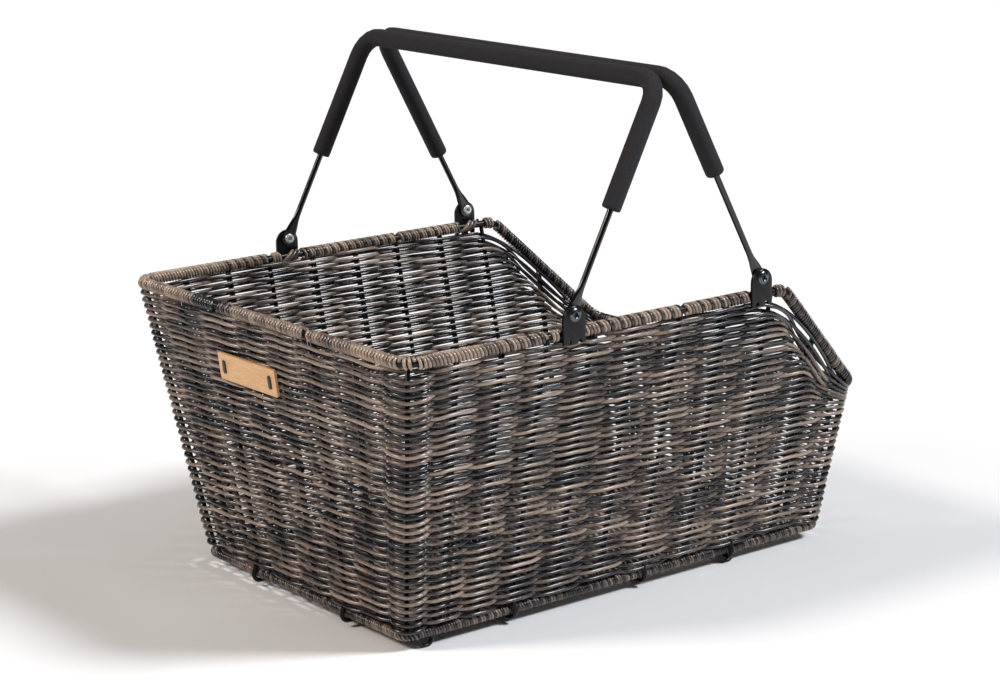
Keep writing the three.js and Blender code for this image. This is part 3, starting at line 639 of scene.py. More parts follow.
def rim_height(turn):
    """Height of the rim's centre line above a place on the wall."""
    z = RIM_Z
    for _ in range(RIM_ROUNDS):
        x = wall_place(turn, z)[0].x
        z = min(RIM_Z, max(LOW_Z, RIM_Z - (x - SLOPE_X)))
    return z


def level_height(row, place):
    low = FIRST_ROW_Z + FULL_ROWS * row_pitch(place)
    return low + (smooth_height(TOP_Z, place) - low) * row / (SHORT_ROWS - 1)


def soft_rim_height(place):
    return sum(rim_height(place + shift) for shift in RIM_SOFTENING) / len(RIM_SOFTENING)


def slope_height(rank, place):
    """Height of the follower of a rank, counted from the rim, where it runs under the slope."""
    level = RIM_Z - smooth_height(TOP_Z, place) + LEVEL_STEP * rank
    sloped = UNDER_RIM + UNDER_STEP * rank
    corner = CORNER_UNDER + CORNER_STEP * rank
    under = level + (sloped - level) * soft_step((place - SLOPE_FROM) / SLOPE_EASE)
    under += (corner - under) * soft_step((place - CORNER_FROM) / (LONG_SPACES - CORNER_FROM))
    return soft_rim_height(place) - under


def short_row_line(row):
    """Heights of a short row along a side, tick by tick, up to its end."""
    rank = sum(other > row for other in FOLLOWERS)
    line = []
    for k in range(LONG_SPACES * STEPS + 1):
        place = k / STEPS
        level, sloped = level_height(row, place), slope_height(rank, place)
        if row >= FOLLOWERS[FIRST_FOLLOWERS - 1]:
            line.append(sloped)
            continue
        sloped += CLEAR_ABOVE * (1 - soft_step((place - SLOPE_FROM) / SLOPE_EASE))
        blend = max(SOFT_BEND - abs(level - sloped), 0)
        line.append(min(level, sloped) - blend * blend / (4 * SOFT_BEND))
        if row not in FOLLOWERS and level - line[-1] > END_DIP:
            break
    return line


side_lines = [short_row_line(row) for row in range(SHORT_ROWS)]
print("short rows end at", [round(len(line) / STEPS, 1) for line in side_lines])

# %% [markdown]
# ## Weaving
# A strand's distance from the middle of the wall swings from outside to inside, flat against each
# stake and quick between them, as a stiff strand does. Outside a stake it rides up a little and
# inside it sinks, because there the next rows leave it room. Behind a bracket's foot it stays in,
# and on the far wall the top rows are pushed up against the rim. A little smooth noise keeps it
# from looking machine made. The tone comes from noise too, long along the strand and short across
# it. The lowest strands and those down the slope are darker.

# %% Weaving the rows
SWING = 4.0
# How far a strand rides up outside a stake and sinks inside it, by stakes round the basket: the
# near rear corner, where it is the other way round, then the near, front, far and rear walls. It
# is more near the rim, where the rows lie closer
RIDE_TURNS = [0.0, 0.8, 4.5, 9.0, 10.5, 16.5, 17.5, 26.5, 27.5, 33.2]
RIDES = [-0.9, 1.1, 1.1, 1.4, -0.5, -0.5, 0.1, 0.1, 1.35, 1.35]
RIDE_MORE, RIDE_FROM_Z, RIDE_EASE = 0.6, 60.0, 110.0
TAB_REACH, TAB_FOOT_Z, TAB_DEPTH = 14.0, 221.0, 0.9
WOBBLE, WOBBLE_SCALE = 0.7, 0.6
LIFT_STEP, LIFT_PLANE, PUSH_STEP, PUSH_PLANE = 5.3, 1.0, 4.1, 9.0
FAR_LIFT, LIFT_FROM_ROW = 2.0, 24
# The tone is a mean, a broad noise and a fine one. Both go round a ring, so that they close
TONE_RING, TONE_MEAN = 2.8, 0.52
BROAD_STEP, BROAD_SHARE = 0.73, 0.25
FINE_SCALE, FINE_STEP, FINE_SEED, FINE_SHARE = 1.6, 1.7, 3, 0.8
SLOPE_DARK, DARK_RANKS = 0.45, 8
BASE_DARK, DARK_ROWS = 0.35, 2


def wave(turn, row):
    """1 where a row passes outside a stake, -1 where it passes inside, and soft between them."""
    i = math.floor(turn)
    sign = 1 if (row + i) % 2 == 0 else -1
    return sign * math.cos(math.pi * (turn - i))


def tone_at(row, turn, seed):
    angle = 2 * math.pi * turn / LOOP
    ring = Vector((TONE_RING * math.cos(angle), TONE_RING * math.sin(angle), 0))
    broad = noise.noise(ring + Vector((0, 0, row * BROAD_STEP + seed)))
    fine = noise.noise(ring * FINE_SCALE + Vector((0, 0, row * FINE_STEP + seed * FINE_SEED)))
    return TONE_MEAN + BROAD_SHARE * broad + FINE_SHARE * fine


def shade(row, turn):
    """How much darker a strand is in the lowest rows, or where it runs down the slope."""
    if row < DARK_ROWS:
        return BASE_DARK
    place = turn - LOOP if turn > LOOP else CORNERS[3] - turn
    rank = sum(other > row - FULL_ROWS for other in FOLLOWERS)
    bent_down = soft_step((place - SLOPE_FROM + SLOPE_EASE) / SLOPE_EASE)
    return SLOPE_DARK * bent_down * max(0, 1 - rank / DARK_RANKS)


def strand_point(turn, z, row):
    spot, out = wall_place(turn, z)
    around = turn % LOOP
    wobble = WOBBLE * soft_step(min(around, LOOP - around))
    lift = wobble * noise.noise(Vector((around * WOBBLE_SCALE, row * LIFT_STEP, LIFT_PLANE)))
    push = wobble * noise.noise(Vector((around * WOBBLE_SCALE, row * PUSH_STEP, PUSH_PLANE)))
    depth = SWING * math.sin(math.pi / 2 * wave(turn, row))
    if z > TAB_FOOT_Z and any(abs(spot.x - x) < TAB_REACH for x in PIVOT_X.values()):
        depth = min(depth, TAB_DEPTH)
    ride = np.interp(turn, RIDE_TURNS, RIDES, period=LOOP) * wave(turn, row)
    ride *= 1 + RIDE_MORE * soft_step((z - RIDE_FROM_Z) / RIDE_EASE)
    return spot + out * (depth + push) + Vector((0, 0, lift + ride))


def full_row(row):
    """Once round the basket. It starts at the first stake after the corner, where it lies straight."""
    heights = full_row_heights(row)
    heights.append(heights[0])
    ticks = range(STEPS, (LOOP + 1) * STEPS + 1)
    return [(k / STEPS, smooth_height(heights, k / STEPS % LOOP), row) for k in ticks]


def front_height(row):
    """Height of a follower on the front wall, shared out between the full rows and the rim."""
    low = full_row_heights(FULL_ROWS - 1)[CORNERS[1]]
    high = LOW_Z - CORNER_UNDER
    return high - (high - low) * FRONT_ROWS.index(row) / len(FRONT_ROWS)


def far_lift(row, place):
    """The top rows of the far wall are pushed up against the rim, between its corner and the slope."""
    high = soft_step((row - LIFT_FROM_ROW) / (SHORT_ROWS - 1 - LIFT_FROM_ROW))
    return FAR_LIFT * high * soft_step(place) * soft_step((SLOPE_FROM - place) / SLOPE_EASE)


def short_row(row):
    """From its end on the far side, round the rear, to its end on the near side, after the front
    for the rows that go round it."""
    line = side_lines[row]
    end_ticks = END_SPACES * STEPS
    samples = []
    if row in FRONT_ROWS:
        change = front_height(row) - line[-1]
        for k in range(end_ticks):
            height = line[-1] + change * soft_step(min(k, end_ticks - k) / STEPS)
            samples.append((CORNERS[1] + k / STEPS, height))
    for k in range(len(line) - 1, 0, -1):
        samples.append((CORNERS[3] - k / STEPS, line[k] + far_lift(row, k / STEPS)))
    for k in range(end_ticks):
        bulge = REAR_BULGE * math.sin(math.pi * k / end_ticks)
        samples.append((CORNERS[3] + k / STEPS, line[0] + bulge))
    samples += [(LOOP + k / STEPS, height) for k, height in enumerate(line)]
    return [(turn, height, FULL_ROWS + row) for turn, height in samples]


rows = [full_row(row) for row in range(FULL_ROWS)] + [short_row(row) for row in range(SHORT_ROWS)]
print("rows", len(rows), "points along them", sum(len(row) for row in rows))

# %% [markdown]
# ## Eight woven panels
# The rows are cut where the corners begin, so each wall and each corner is a piece of its own, as in
# the solids. The cut ends lap by a step or so, which hides the seam. The stakes between the steel
# ones are pairs of dark strand, and they belong to the same panels.

# %% Panels
CORNER_REACH = 0.4
WALLS = ["near", "front", "far", "rear"]
WALL_CORNERS = ["rear_near", "front_near", "front_far", "rear_far"]
PANELS = {}
for i in range(4):
    PANELS["wall_corner_" + WALL_CORNERS[i]] = (CORNERS[i] - CORNER_REACH, CORNERS[i] + CORNER_REACH)
    PANELS["wall_" + WALLS[i]] = (CORNERS[i] + CORNER_REACH, CORNERS[i + 1] - CORNER_REACH)
STEEL_AT = {CORNERS[i] + k for i in range(4) for k in (0, *KNOWN[i][1])}
STAKE_STRAND = 2.6
STAKE_TONE = 0.05
STAKE_POINTS, STAKE_BESIDE = 12, 0.1
LAP = 1.5 / STEPS


def panel_runs(low, high):
    runs = []
    for samples in rows:
        for shift in (-LOOP, 0):
            part = [s for s in samples if low - LAP < s[0] + shift < high + LAP]
            if len(part) > 1:
                points = [strand_point(*s) for s in part]
                tones = [tone_at(row, turn, 0.0) - shade(row, turn) for turn, _, row in part]
                runs.append((points, tones))
    return runs


def strand_stakes(low, high):
    runs = []
    for i in range(LOOP):
        if low < i < high and i not in STEEL_AT:
            top = rim_height(i)
            for side in (-1, 1):
                line = []
                for z in np.linspace(BASE_Z, top, STAKE_POINTS):
                    spot, _ = wall_place(i, z)
                    beside, _ = wall_place(i + STAKE_BESIDE, z)
                    line.append(spot + (beside - spot).normalized() * side * STAKE_STRAND / 2)
                runs.append((line, STAKE_TONE))
    return runs


STRAND_ROUNDING = 2
for node, (low, high) in PANELS.items():
    woven = tube_mesh(node + "_weave", panel_runs(low, high), STRAND / 2, STRAND_ROUNDING)
    stake_runs = strand_stakes(low, high)
    if stake_runs:
        add_mesh(woven, tube_mesh("stakes", stake_runs, STAKE_STRAND / 2, STRAND_ROUNDING))
    piece = place_mesh(node + "_weave", woven)
    dress(piece, "basket", [node], woven_polyethylene)
    print(node, "triangles", count_triangles(woven))

# %% [markdown]
# ## Woven floor
# The floor is a plain weave on its own stakes, which run lengthwise: the two steel wires and pairs
# of strand between them. The weavers run across, and leave room where a cross wire lies under them.

# %% Floor
FLOOR_PITCH, FLOOR_SWING = 3.05, 3.2
FLOOR_STAKES_Y = [-99.0, -LONG_WIRE_Y, -20.7, 20.7, LONG_WIRE_Y, 99.0]
FLOOR_EDGE, CORNER_TRIM = 4.2, 0.7
FLOOR_STAKE_END = 3.0
FLOOR_STEPS = 8
END_SWING, OVER_WIRE = 0.2, 0.5
FLOOR_TONE_STEP, FLOOR_SEED = 0.11, 20.0


def floor_runs():
    edge = BASE_HALF - FLOOR_EDGE
    marks = [-edge, *FLOOR_STAKES_Y, edge]
    start = BASE_REAR_X + FLOOR_EDGE + STRAND / 2
    end = BASE_FRONT_X - FLOOR_EDGE - STRAND / 2
    count = round((end - start) / FLOOR_PITCH)
    runs = []
    for k in range(count + 1):
        x = start + (end - start) * k / count
        trim = max(0, BASE_BEND - FLOOR_EDGE - min(x - start, end - x)) * CORNER_TRIM
        over_wire = any(abs(x - w) < STAKE_WIRE for w in CROSS_WIRE_X)
        points, tones = [], []
        for n in range((len(marks) - 1) * FLOOR_STEPS + 1):
            place = n / FLOOR_STEPS
            y = np.interp(place, range(len(marks)), marks)
            if abs(y) > edge - trim:
                continue
            rise = FLOOR_SWING * math.sin(math.pi / 2 * wave(place, k))
            if not 0 < place < len(marks) - 1:
                rise *= END_SWING
            points.append(Vector((x, y, LONG_Z + (max(rise, OVER_WIRE) if over_wire else rise))))
            tones.append(tone_at(k, n * FLOOR_TONE_STEP, FLOOR_SEED))
        runs.append((points, tones))
    return runs


floor_mesh = tube_mesh("floor_weave_strands", floor_runs(), STRAND / 2, STRAND_ROUNDING)
floor_stakes = []
for y in FLOOR_STAKES_Y:
    if abs(y) != LONG_WIRE_Y:
        for beside in (y - STAKE_STRAND / 2, y + STAKE_STRAND / 2):
            ends = [Vector((x, beside, LONG_Z))
                    for x in (BASE_REAR_X + FLOOR_STAKE_END, BASE_FRONT_X - FLOOR_STAKE_END)]
            floor_stakes.append((ends, STAKE_TONE))
add_mesh(floor_mesh, tube_mesh("floor_stakes", floor_stakes, STAKE_STRAND / 2, STRAND_ROUNDING))
dress(place_mesh("floor_weave_strands", floor_mesh), "basket", ["floor_weave"],
      woven_polyethylene)
print("floor triangles", count_triangles(floor_mesh))

# %% [markdown]
# ## Winding on the rim and the base ring
# Three strands are wound side by side, so their turns lie in turn along the rod. Near the rear all
# three are tan and the winding is plain. Further on one of them is charcoal and it is striped. A
# dark length lies on the rear rim, and a short piece of winding has one strand only. Each winding
# is a helix round a piece of the rod's centre line. It stops short of the steel stakes, where the
# rod and the weld show black.

# %% Helix on a line
PER_TURN = 18


def resample(line, spacing):
    line = [Vector(p) for p in line]
    steps = [(b - a).length for a, b in zip(line, line[1:])]
    places = np.concatenate([[0], np.cumsum(steps)])
    count = max(2, round(places[-1] / spacing))
    wanted = np.linspace(0, places[-1], count + 1)
    columns = np.array([list(p) for p in line])
    return [Vector([np.interp(w, places, columns[:, c]) for c in range(3)]) for w in wanted], places[-1]


def helix(line, radius, pitch, phase):
    """A thread wound on a centre line, as points and the turn that each belongs to."""
    points, length = resample(line, pitch / PER_TURN)
    across = Vector((0, 0, 1))
    thread, turns = [], []
    for i, spot in enumerate(points):
        ahead = (points[min(i + 1, len(points) - 1)] - points[max(i - 1, 0)]).normalized()
        across = (across - ahead * across.dot(ahead)).normalized()
        beside = ahead.cross(across)
        turn = i / (len(points) - 1) * length / pitch + phase
        angle = 2 * math.pi * turn
        thread.append(spot + radius * (across * math.cos(angle) + beside * math.sin(angle)))
        turns.append(turn)
    return thread, turns


STARTS = 3
SHORT_PIECE = 30.0
STRIPE, STRIPE_FROM_X, STRIPE_EASE = 0.6, -180.0, 50.0
DARK_SPOT, DARK_REACH, DARK_BY = Vector((REAR_X, 78, RIM_Z)), 50.0, 0.7
# A tone that changes slowly from place to place, and one that changes from turn to turn
PATCH_MM, PATCH_SHARE = 40, 0.35
START_STEP, START_FROM, TURN_SHARE = 7.1, 0.5, 0.4


def wound_runs(line, radius, pitch, seed, tan_share):
    """Three strands wound together, each with a tone that changes from turn to turn."""
    runs = []
    _, length = resample(line, pitch)
    starts = STARTS if length > SHORT_PIECE else 1
    for start in range(starts):
        thread, turns = helix(line, radius, starts * pitch, start / starts)
        tones = []
        for turn, spot in zip(turns, thread):
            patch = noise.noise(spot / PATCH_MM + Vector((seed, 0, 0)))
            change = noise.noise(Vector((math.floor(turn), seed, start * START_STEP + START_FROM)))
            dark = DARK_BY * (1 - soft_step((spot - DARK_SPOT).length / DARK_REACH))
            if start == STARTS - 1:
                dark += STRIPE * soft_step((spot.x - STRIPE_FROM_X) / STRIPE_EASE)
            tones.append(tan_share + PATCH_SHARE * patch + TURN_SHARE * change - dark)
        runs.append((thread, tones))
    return runs


# %% [markdown]
# The rim's winding is cut into the same lengths as the solids: the ends, the corners, and along each
# side the parts before, between and after the brackets. Behind a bracket the strands cannot go
# round the rod, so three of them cross its inside to the next part.

# %% Winding the rim
WOUND, WOUND_RADIUS, WOUND_ROUNDING = 2.6, 3.8, 1
WOUND_PITCH, REAR_WOUND_PITCH, SLOPE_WOUND_PITCH = 3.3, 3.8, 3.0
# On the far side the turns lie closer
SIDE_PITCH = {-1: WOUND_PITCH, 1: 2.75}
TAN = {"rear": 0.85, "front": 0.4, "corner_rear": 0.9, "corner_front": 0.4,
       "side_rear": 0.88, "side_middle": 0.82, "stub": 0.45, "slope": 0.42}
SEED_STEP = 1.3
BRACKET_ROOM, STAKE_ROOM = 11.5, 3.0
# After the front bracket, in steps of 1 mm: the post, a short stub of winding and a gap
RIM_STEP = 1.0
POST_ROOM, STUB, STUB_GAP = 6, 9, 4
# A corner's arc has eleven points, and its winding comes in three groups of turns
CORNER_GROUPS = [(0, 4), (4, 8), (8, 11)]
CROSSING_STRANDS, CROSSING_POINTS = 3, 13
CROSSING_STEP, CROSSING_RUN, CROSSING_RADIUS = 4.2, 14.0, 4.2
CROSSING_FROM, CROSSING_TO = math.radians(-75), math.radians(85)
CROSSING_TONE, CROSSING_TONE_STEP = 0.75, 0.2


def level_runs(start, end, stops):
    """A straight length between two points, broken at the stakes that stand on it."""
    start, end = Vector(start), Vector(end)
    length = (end - start).length
    ahead = (end - start) / length
    cuts = [0.0]
    for stop in sorted((Vector(s) - start).dot(ahead) for s in stops):
        if STAKE_ROOM < stop < length - STAKE_ROOM:
            cuts += [stop - STAKE_ROOM, stop + STAKE_ROOM]
    cuts.append(length)
    return [[start + ahead * a, start + ahead * b] for a, b in zip(cuts[::2], cuts[1::2])]


def on_rim(x, side):
    return x, side * RIM_HALF, RIM_Z


def rim_windings():
    """For each winding: its lines, and for each line how tan it is and the pitch of its turns."""
    made = {}
    high, low = {}, {}
    for side in SIDES.values():
        rear, bend, end = rim_corners(side)
        high[side] = bent([(REAR_X, 0, RIM_Z), rear, bend], [RIM_BEND], BEND_STEPS)[1:-1]
        low[side] = bent([bend, end, (FRONT_X, 0, LOW_Z)], [RIM_BEND], BEND_STEPS)[1:-1]
    for word, start, end, pitch in (("rear", high[-1][0], high[1][0], REAR_WOUND_PITCH),
                                    ("front", low[-1][-1], low[1][-1], WOUND_PITCH)):
        stops = [(start.x, y, start.z) for y in (-LONG_WIRE_Y, LONG_WIRE_Y)]
        made[word] = [(run, TAN[word], pitch) for run in level_runs(start, end, stops)]
    for word, side in SIDES.items():
        arc = high[side]
        made["corner_rear_" + word] = [
            (arc[a:b], TAN["corner_rear"], WOUND_PITCH) for a, b in CORNER_GROUPS]
        made["corner_front_" + word] = [(low[side], TAN["corner_front"], WOUND_PITCH)]
        stops = [on_rim(x, side) for x in CROSS_WIRE_X]
        (rear_before, rear_after), (front_before, front_after) = (
            (on_rim(x - BRACKET_ROOM, side), on_rim(x + BRACKET_ROOM, side)) for x in PIVOT_X.values())
        for part, start, end in (("side_rear", arc[-1], rear_before),
                                 ("side_middle", rear_after, front_before)):
            made[f"{part}_{word}"] = [
                (run, TAN[part], SIDE_PITCH[side]) for run in level_runs(start, end, stops)]
        slope, _ = resample(
            bent([front_after, on_rim(SLOPE_X, side), low[side][0]], [SLOPE_BEND], BEND_STEPS), RIM_STEP)
        made["slope_" + word] = [
            (slope[POST_ROOM:POST_ROOM + STUB + 1], TAN["stub"], WOUND_PITCH),
            (slope[POST_ROOM + STUB + STUB_GAP:], TAN["slope"], SLOPE_WOUND_PITCH)]
    return made


def crossing_runs(pivot_x, side):
    """Strands that cross the inside of the rod behind a bracket, from below to above."""
    runs = []
    for k in range(CROSSING_STRANDS):
        line = []
        for share in np.linspace(0, 1, CROSSING_POINTS):
            angle = CROSSING_FROM + (CROSSING_TO - CROSSING_FROM) * share
            line.append(Vector((pivot_x - BRACKET_ROOM + CROSSING_STEP * k + CROSSING_RUN * share,
                                side * (RIM_HALF - CROSSING_RADIUS * math.cos(angle)),
                                RIM_Z + CROSSING_RADIUS * math.sin(angle))))
        runs.append((line, CROSSING_TONE - CROSSING_TONE_STEP * k))
    return runs


CROSSED = {f"{part}_{word}": (PIVOT_X[end], side) for word, side in SIDES.items()
           for part, end in (("side_middle", "rear"), ("slope", "front"))}
for seed, (word, pieces) in enumerate(rim_windings().items()):
    runs = crossing_runs(*CROSSED[word]) if word in CROSSED else []
    for line, tan_share, pitch in pieces:
        runs += wound_runs(line, WOUND_RADIUS, pitch, SEED_STEP * seed, tan_share)
    node = "rim_binding_" + word
    place_threads(
        node + "_winding", node, runs, WOUND / 2, WOUND_ROUNDING, wound_polyethylene)
print("windings on the rim", seed + 1)

# %% [markdown]
# The base ring is wound in the same way with a thinner strand, one length to each side.

# %% Winding the base ring
BASE_WOUND, BASE_WOUND_RADIUS, BASE_PITCH = 2.3, 3.15, 2.5
BASE_SEED, BASE_TAN = 9.1, 0.45
ring = base_corners(-1) + base_corners(1)[::-1]
for seed, word in enumerate(WALLS):
    before, corner, after = (Vector(ring[(seed + k) % 4]) for k in range(3))
    start = before + (corner - before).normalized() * BASE_BEND
    end = corner + (after - corner).normalized() * BASE_BEND
    line = bent([start, corner, end], [BASE_BEND], BEND_STEPS)
    runs = wound_runs(line, BASE_WOUND_RADIUS, BASE_PITCH, BASE_SEED + seed, BASE_TAN)
    node = "base_binding_" + word
    mesh = place_threads(
        node + "_winding", node, runs, BASE_WOUND / 2, WOUND_ROUNDING, wound_polyethylene)
    print(node, "triangles", count_triangles(mesh))

# %% [markdown]
# ## Brackets
# Each handle turns on two stamped steel tabs, welded to the outside of the rim rod. A tab has an
# arched top, two notches at its foot and a raised round boss. The arch is spun from one corner,
# the outline is filled, the face is extruded to the sheet's thickness and the edges get a small
# bevel, as stamping leaves them.

# %% Brackets
TAB_HALF, TAB_DROP, TAB_RISE, TAB_SHEET = 10.5, 7.5, 21.5, 2.2
TAB_FACE = 189.3
PIVOT_RISE = 14.5
BOSS_RADIUS, BOSS_RISE = 6.6, 0.9
# The boss, as radius and height above the sheet, with a round shoulder
BOSS_PROFILE = [(0, -0.5), (BOSS_RADIUS, -0.5), (BOSS_RADIUS, 0.1), (BOSS_RADIUS - 0.5, BOSS_RISE * 0.7),
                (BOSS_RADIUS - 1.1, BOSS_RISE), (0, BOSS_RISE)]
NOTCH_HALF, NOTCH_DEPTH, NOTCH_AT = 1.6, 2.6, 4.8
ARCH_STEPS, BOSS_SEGMENTS = 20, 32
TAB_BEVEL = 0.35


def on_side_matrix(x, side):
    """From a tab's own axes, with Z out of the basket, to its place on the near or far side."""
    turn = Matrix.Rotation(math.pi / 2, 4, "X")
    if side > 0:
        turn = Matrix.Rotation(math.pi, 4, "Z") @ turn
    return Matrix.Translation((x, side * TAB_FACE, RIM_Z)) @ turn


def turned(profile, segments):
    """A profile of (radius, height) points spun about Z."""
    shape = bmesh.new()
    points = [shape.verts.new((r, 0, h)) for r, h in profile]
    for a, b in zip(points, points[1:]):
        shape.edges.new((a, b))
    bmesh.ops.spin(shape, geom=shape.verts[:] + shape.edges[:], cent=(0, 0, 0), axis=(0, 0, 1),
                   angle=2 * math.pi, steps=segments, use_merge=True)
    bmesh.ops.remove_doubles(shape, verts=shape.verts[:], dist=1e-4)
    return shape


def tab_shape():
    shape = bmesh.new()
    arch = [shape.verts.new((TAB_HALF, TAB_RISE - TAB_HALF, 0))]
    bmesh.ops.spin(shape, geom=arch, cent=(0, TAB_RISE - TAB_HALF, 0), axis=(0, 0, 1),
                   angle=math.pi, steps=ARCH_STEPS)
    outline = sorted(shape.verts, key=lambda v: -v.co.x)
    foot = [(-TAB_HALF, -TAB_DROP)]
    for at in (-NOTCH_AT, NOTCH_AT):
        foot += [(at - NOTCH_HALF, -TAB_DROP), (at - NOTCH_HALF, NOTCH_DEPTH - TAB_DROP),
                 (at + NOTCH_HALF, NOTCH_DEPTH - TAB_DROP), (at + NOTCH_HALF, -TAB_DROP)]
    foot.append((TAB_HALF, -TAB_DROP))
    outline += [shape.verts.new((x, y, 0)) for x, y in foot]
    for edge in shape.edges[:]:
        shape.edges.remove(edge)
    face = shape.faces.new(outline)
    sheet = bmesh.ops.extrude_face_region(shape, geom=[face])
    lifted = [v for v in sheet["geom"] if isinstance(v, bmesh.types.BMVert)]
    bmesh.ops.translate(shape, verts=lifted, vec=(0, 0, TAB_SHEET))
    rims = [e for e in shape.edges if abs(e.verts[0].co.z - e.verts[1].co.z) < 1e-6]
    bmesh.ops.bevel(shape, geom=rims, offset=TAB_BEVEL, affect="EDGES", segments=2, profile=0.5,
                    material=-1)
    boss = turned(BOSS_PROFILE, BOSS_SEGMENTS)
    bmesh.ops.translate(boss, verts=boss.verts[:], vec=(0, PIVOT_RISE, TAB_SHEET))
    add_bmesh(shape, boss)
    return shape


for place, x, side in four_places(PIVOT_X):
    node = "handle_bracket_" + place
    piece = place_bmesh(node + "_tab", tab_shape(), on_side_matrix(x, side))
    dress(piece, "basket", [node], powder_coat)
print("tab faces", len(piece.data.polygons))

# %% [markdown]
# ## Rivets
# A hollow rivet holds each handle to its tab. Outside it has a dark round head with a hole, and inside
# the basket its end is rolled over into a bright ring with a dark hole. One profile is spun, and the
# faces outside the tab take the darker finish.

# %% Rivets
HEAD_RADIUS, HEAD_FOOT = 5.2, 3.2
RING_RADIUS, RING_FACE = 4.2, -3.1
SHANK, BORE = 2.3, 1.5
RIVET_SEGMENTS = 28
# Two halves of the profile, as radius and height above the ring's face or the head's foot
RING_PROFILE = [
    (0, 2.0), (BORE, 2.0), (BORE, -1.1), (BORE + 0.5, -1.6), (RING_RADIUS - 0.9, -1.5),
    (RING_RADIUS - 0.2, -1.0), (RING_RADIUS, -0.4), (RING_RADIUS - 0.3, 0), (SHANK, 0)]
HEAD_PROFILE = [
    (SHANK, 0), (HEAD_RADIUS, 0), (HEAD_RADIUS, 0.4), (HEAD_RADIUS - 0.5, 0.9), (HEAD_RADIUS - 1.5, 1.4),
    (HEAD_RADIUS - 2.4, 1.6), (HEAD_RADIUS - 3.1, 1.3), (BORE + 0.2, 0.7), (BORE, -1.0), (0, -1.0)]
RIVET_PROFILE = [(r, RING_FACE + h) for r, h in RING_PROFILE] + [(r, HEAD_FOOT + h) for r, h in HEAD_PROFILE]
for place, x, side in four_places(PIVOT_X):
    node = "pivot_rivet_" + place
    shape = turned(RIVET_PROFILE, RIVET_SEGMENTS)
    for face in shape.faces:
        face.material_index = int(face.calc_center_median().z > 0)
    bmesh.ops.translate(shape, verts=shape.verts[:], vec=(0, PIVOT_RISE, 0))
    piece = place_bmesh(node + "_turned", shape, on_side_matrix(x, side))
    for finish in (bright_zinc, polished_steel):
        piece.data.materials.append(finish)
    dress(piece, "basket", [node], bright_zinc)
print("rivet faces", len(piece.data.polygons))

# %% [markdown]
# ## Handles
# Each handle is one black rod bent to a wide arch. Its two ends are hammered flat to eyes that turn
# on the rivets. The rod is a tube on a bent centre line. A flat end is a row of rings, from round to
# wide and thin, bridged into one skin, with a turned washer for the eye. The handle is drawn upright
# with its pivot at the origin and then leaned in until its grip meets the other one.

# %% Handle rods
LEG, LEG_Y, LEG_BEND = 184.0, 187.7, 18.0
SPOON = 26.0
EYE_RADIUS, EYE_HOLE, EYE_SHEET, EYE_EDGE = 6.5, 2.7, 2.6, 0.5
ARC_STEPS, SPOON_SEGMENTS, EYE_SEGMENTS = 14, 16, 28
GRIP_RADIUS, GRIP_GAP = 7.4, 0.4
LEAN = math.asin((PIVOT_X["front"] - PIVOT_X["rear"] - 2 * GRIP_RADIUS - GRIP_GAP) / 2 / LEG)
LEANS = {"rear": LEAN, "front": -LEAN}
# Rings of a flat end, as height above the pivot, half width and half thickness
SPOON_RINGS = [(1.5, 5.9, 1.3), (6.0, 5.6, 1.3), (11.0, 4.7, 1.35), (16.0, 3.4, 1.7), (21.0, 2.6, 2.15),
               (26.0, 2.4, 2.4), (28.0, 2.4, 2.4)]


def handle_matrix(end):
    place = Matrix.Translation((PIVOT_X[end], 0, PIVOT_Z))
    return place @ Matrix.Rotation(LEANS[end], 4, "Y")


def handle_line(near_start, far_start):
    return bent([(0, -LEG_Y, near_start), (0, -LEG_Y, LEG), (0, LEG_Y, LEG), (0, LEG_Y, far_start)],
                [LEG_BEND, LEG_BEND], ARC_STEPS)


def flat_end(shape, side):
    rings = []
    for height, wide, thick in SPOON_RINGS:
        ring = bmesh.ops.create_circle(shape, segments=SPOON_SEGMENTS, radius=1)["verts"]
        for v in ring:
            v.co = Vector((v.co.x * wide, side * LEG_Y + v.co.y * thick, height))
        rings += dict.fromkeys(e for v in ring for e in v.link_edges)
    bmesh.ops.bridge_loops(shape, edges=rings)
    bmesh.ops.holes_fill(shape, edges=shape.edges[:], sides=SPOON_SEGMENTS)
    half, flat = EYE_SHEET / 2, EYE_RADIUS - EYE_EDGE
    washer = turned(
        [(EYE_HOLE, -half), (flat, -half), (EYE_RADIUS, EYE_EDGE - half), (EYE_RADIUS, half - EYE_EDGE),
         (flat, half), (EYE_HOLE, half), (EYE_HOLE, -half)], EYE_SEGMENTS)
    washer.transform(Matrix.Translation((0, side * LEG_Y, 0)) @ Matrix.Rotation(math.pi / 2, 4, "X"))
    add_bmesh(shape, washer)


for end in PIVOT_X:
    shape = bmesh.new()
    for side in SIDES.values():
        flat_end(shape, side)
    bar = tube_mesh("bar", [(handle_line(SPOON, SPOON), 0)], HANDLE_ROD / 2, ROD_ROUNDING)
    bar.transform(Matrix.Scale(1 / MM, 4))
    shape.from_mesh(bar)
    bpy.data.meshes.remove(bar)
    piece = place_bmesh(f"handle_rod_{end}_bent", shape, handle_matrix(end))
    dress(piece, end + "_handle", [f"handle_rod_{end}"], gloss_coat)
print("lean in degrees", round(math.degrees(LEAN), 2))

# %% [markdown]
# ## Foam grips
# A grip is a thick foam tube pushed over the rod. It is cut square, and its edges are a little
# rounded. The tube's girth is drawn in over the last two millimetres at each end, and the rod shows
# where it leaves the foam.

# %% Foam grips
GRIP_START = 79.0
GRIP_SLIDE = {"rear": 3.0, "front": 19.0}
GRIP_SPACING, GRIP_ROUNDING = 6.0, 10
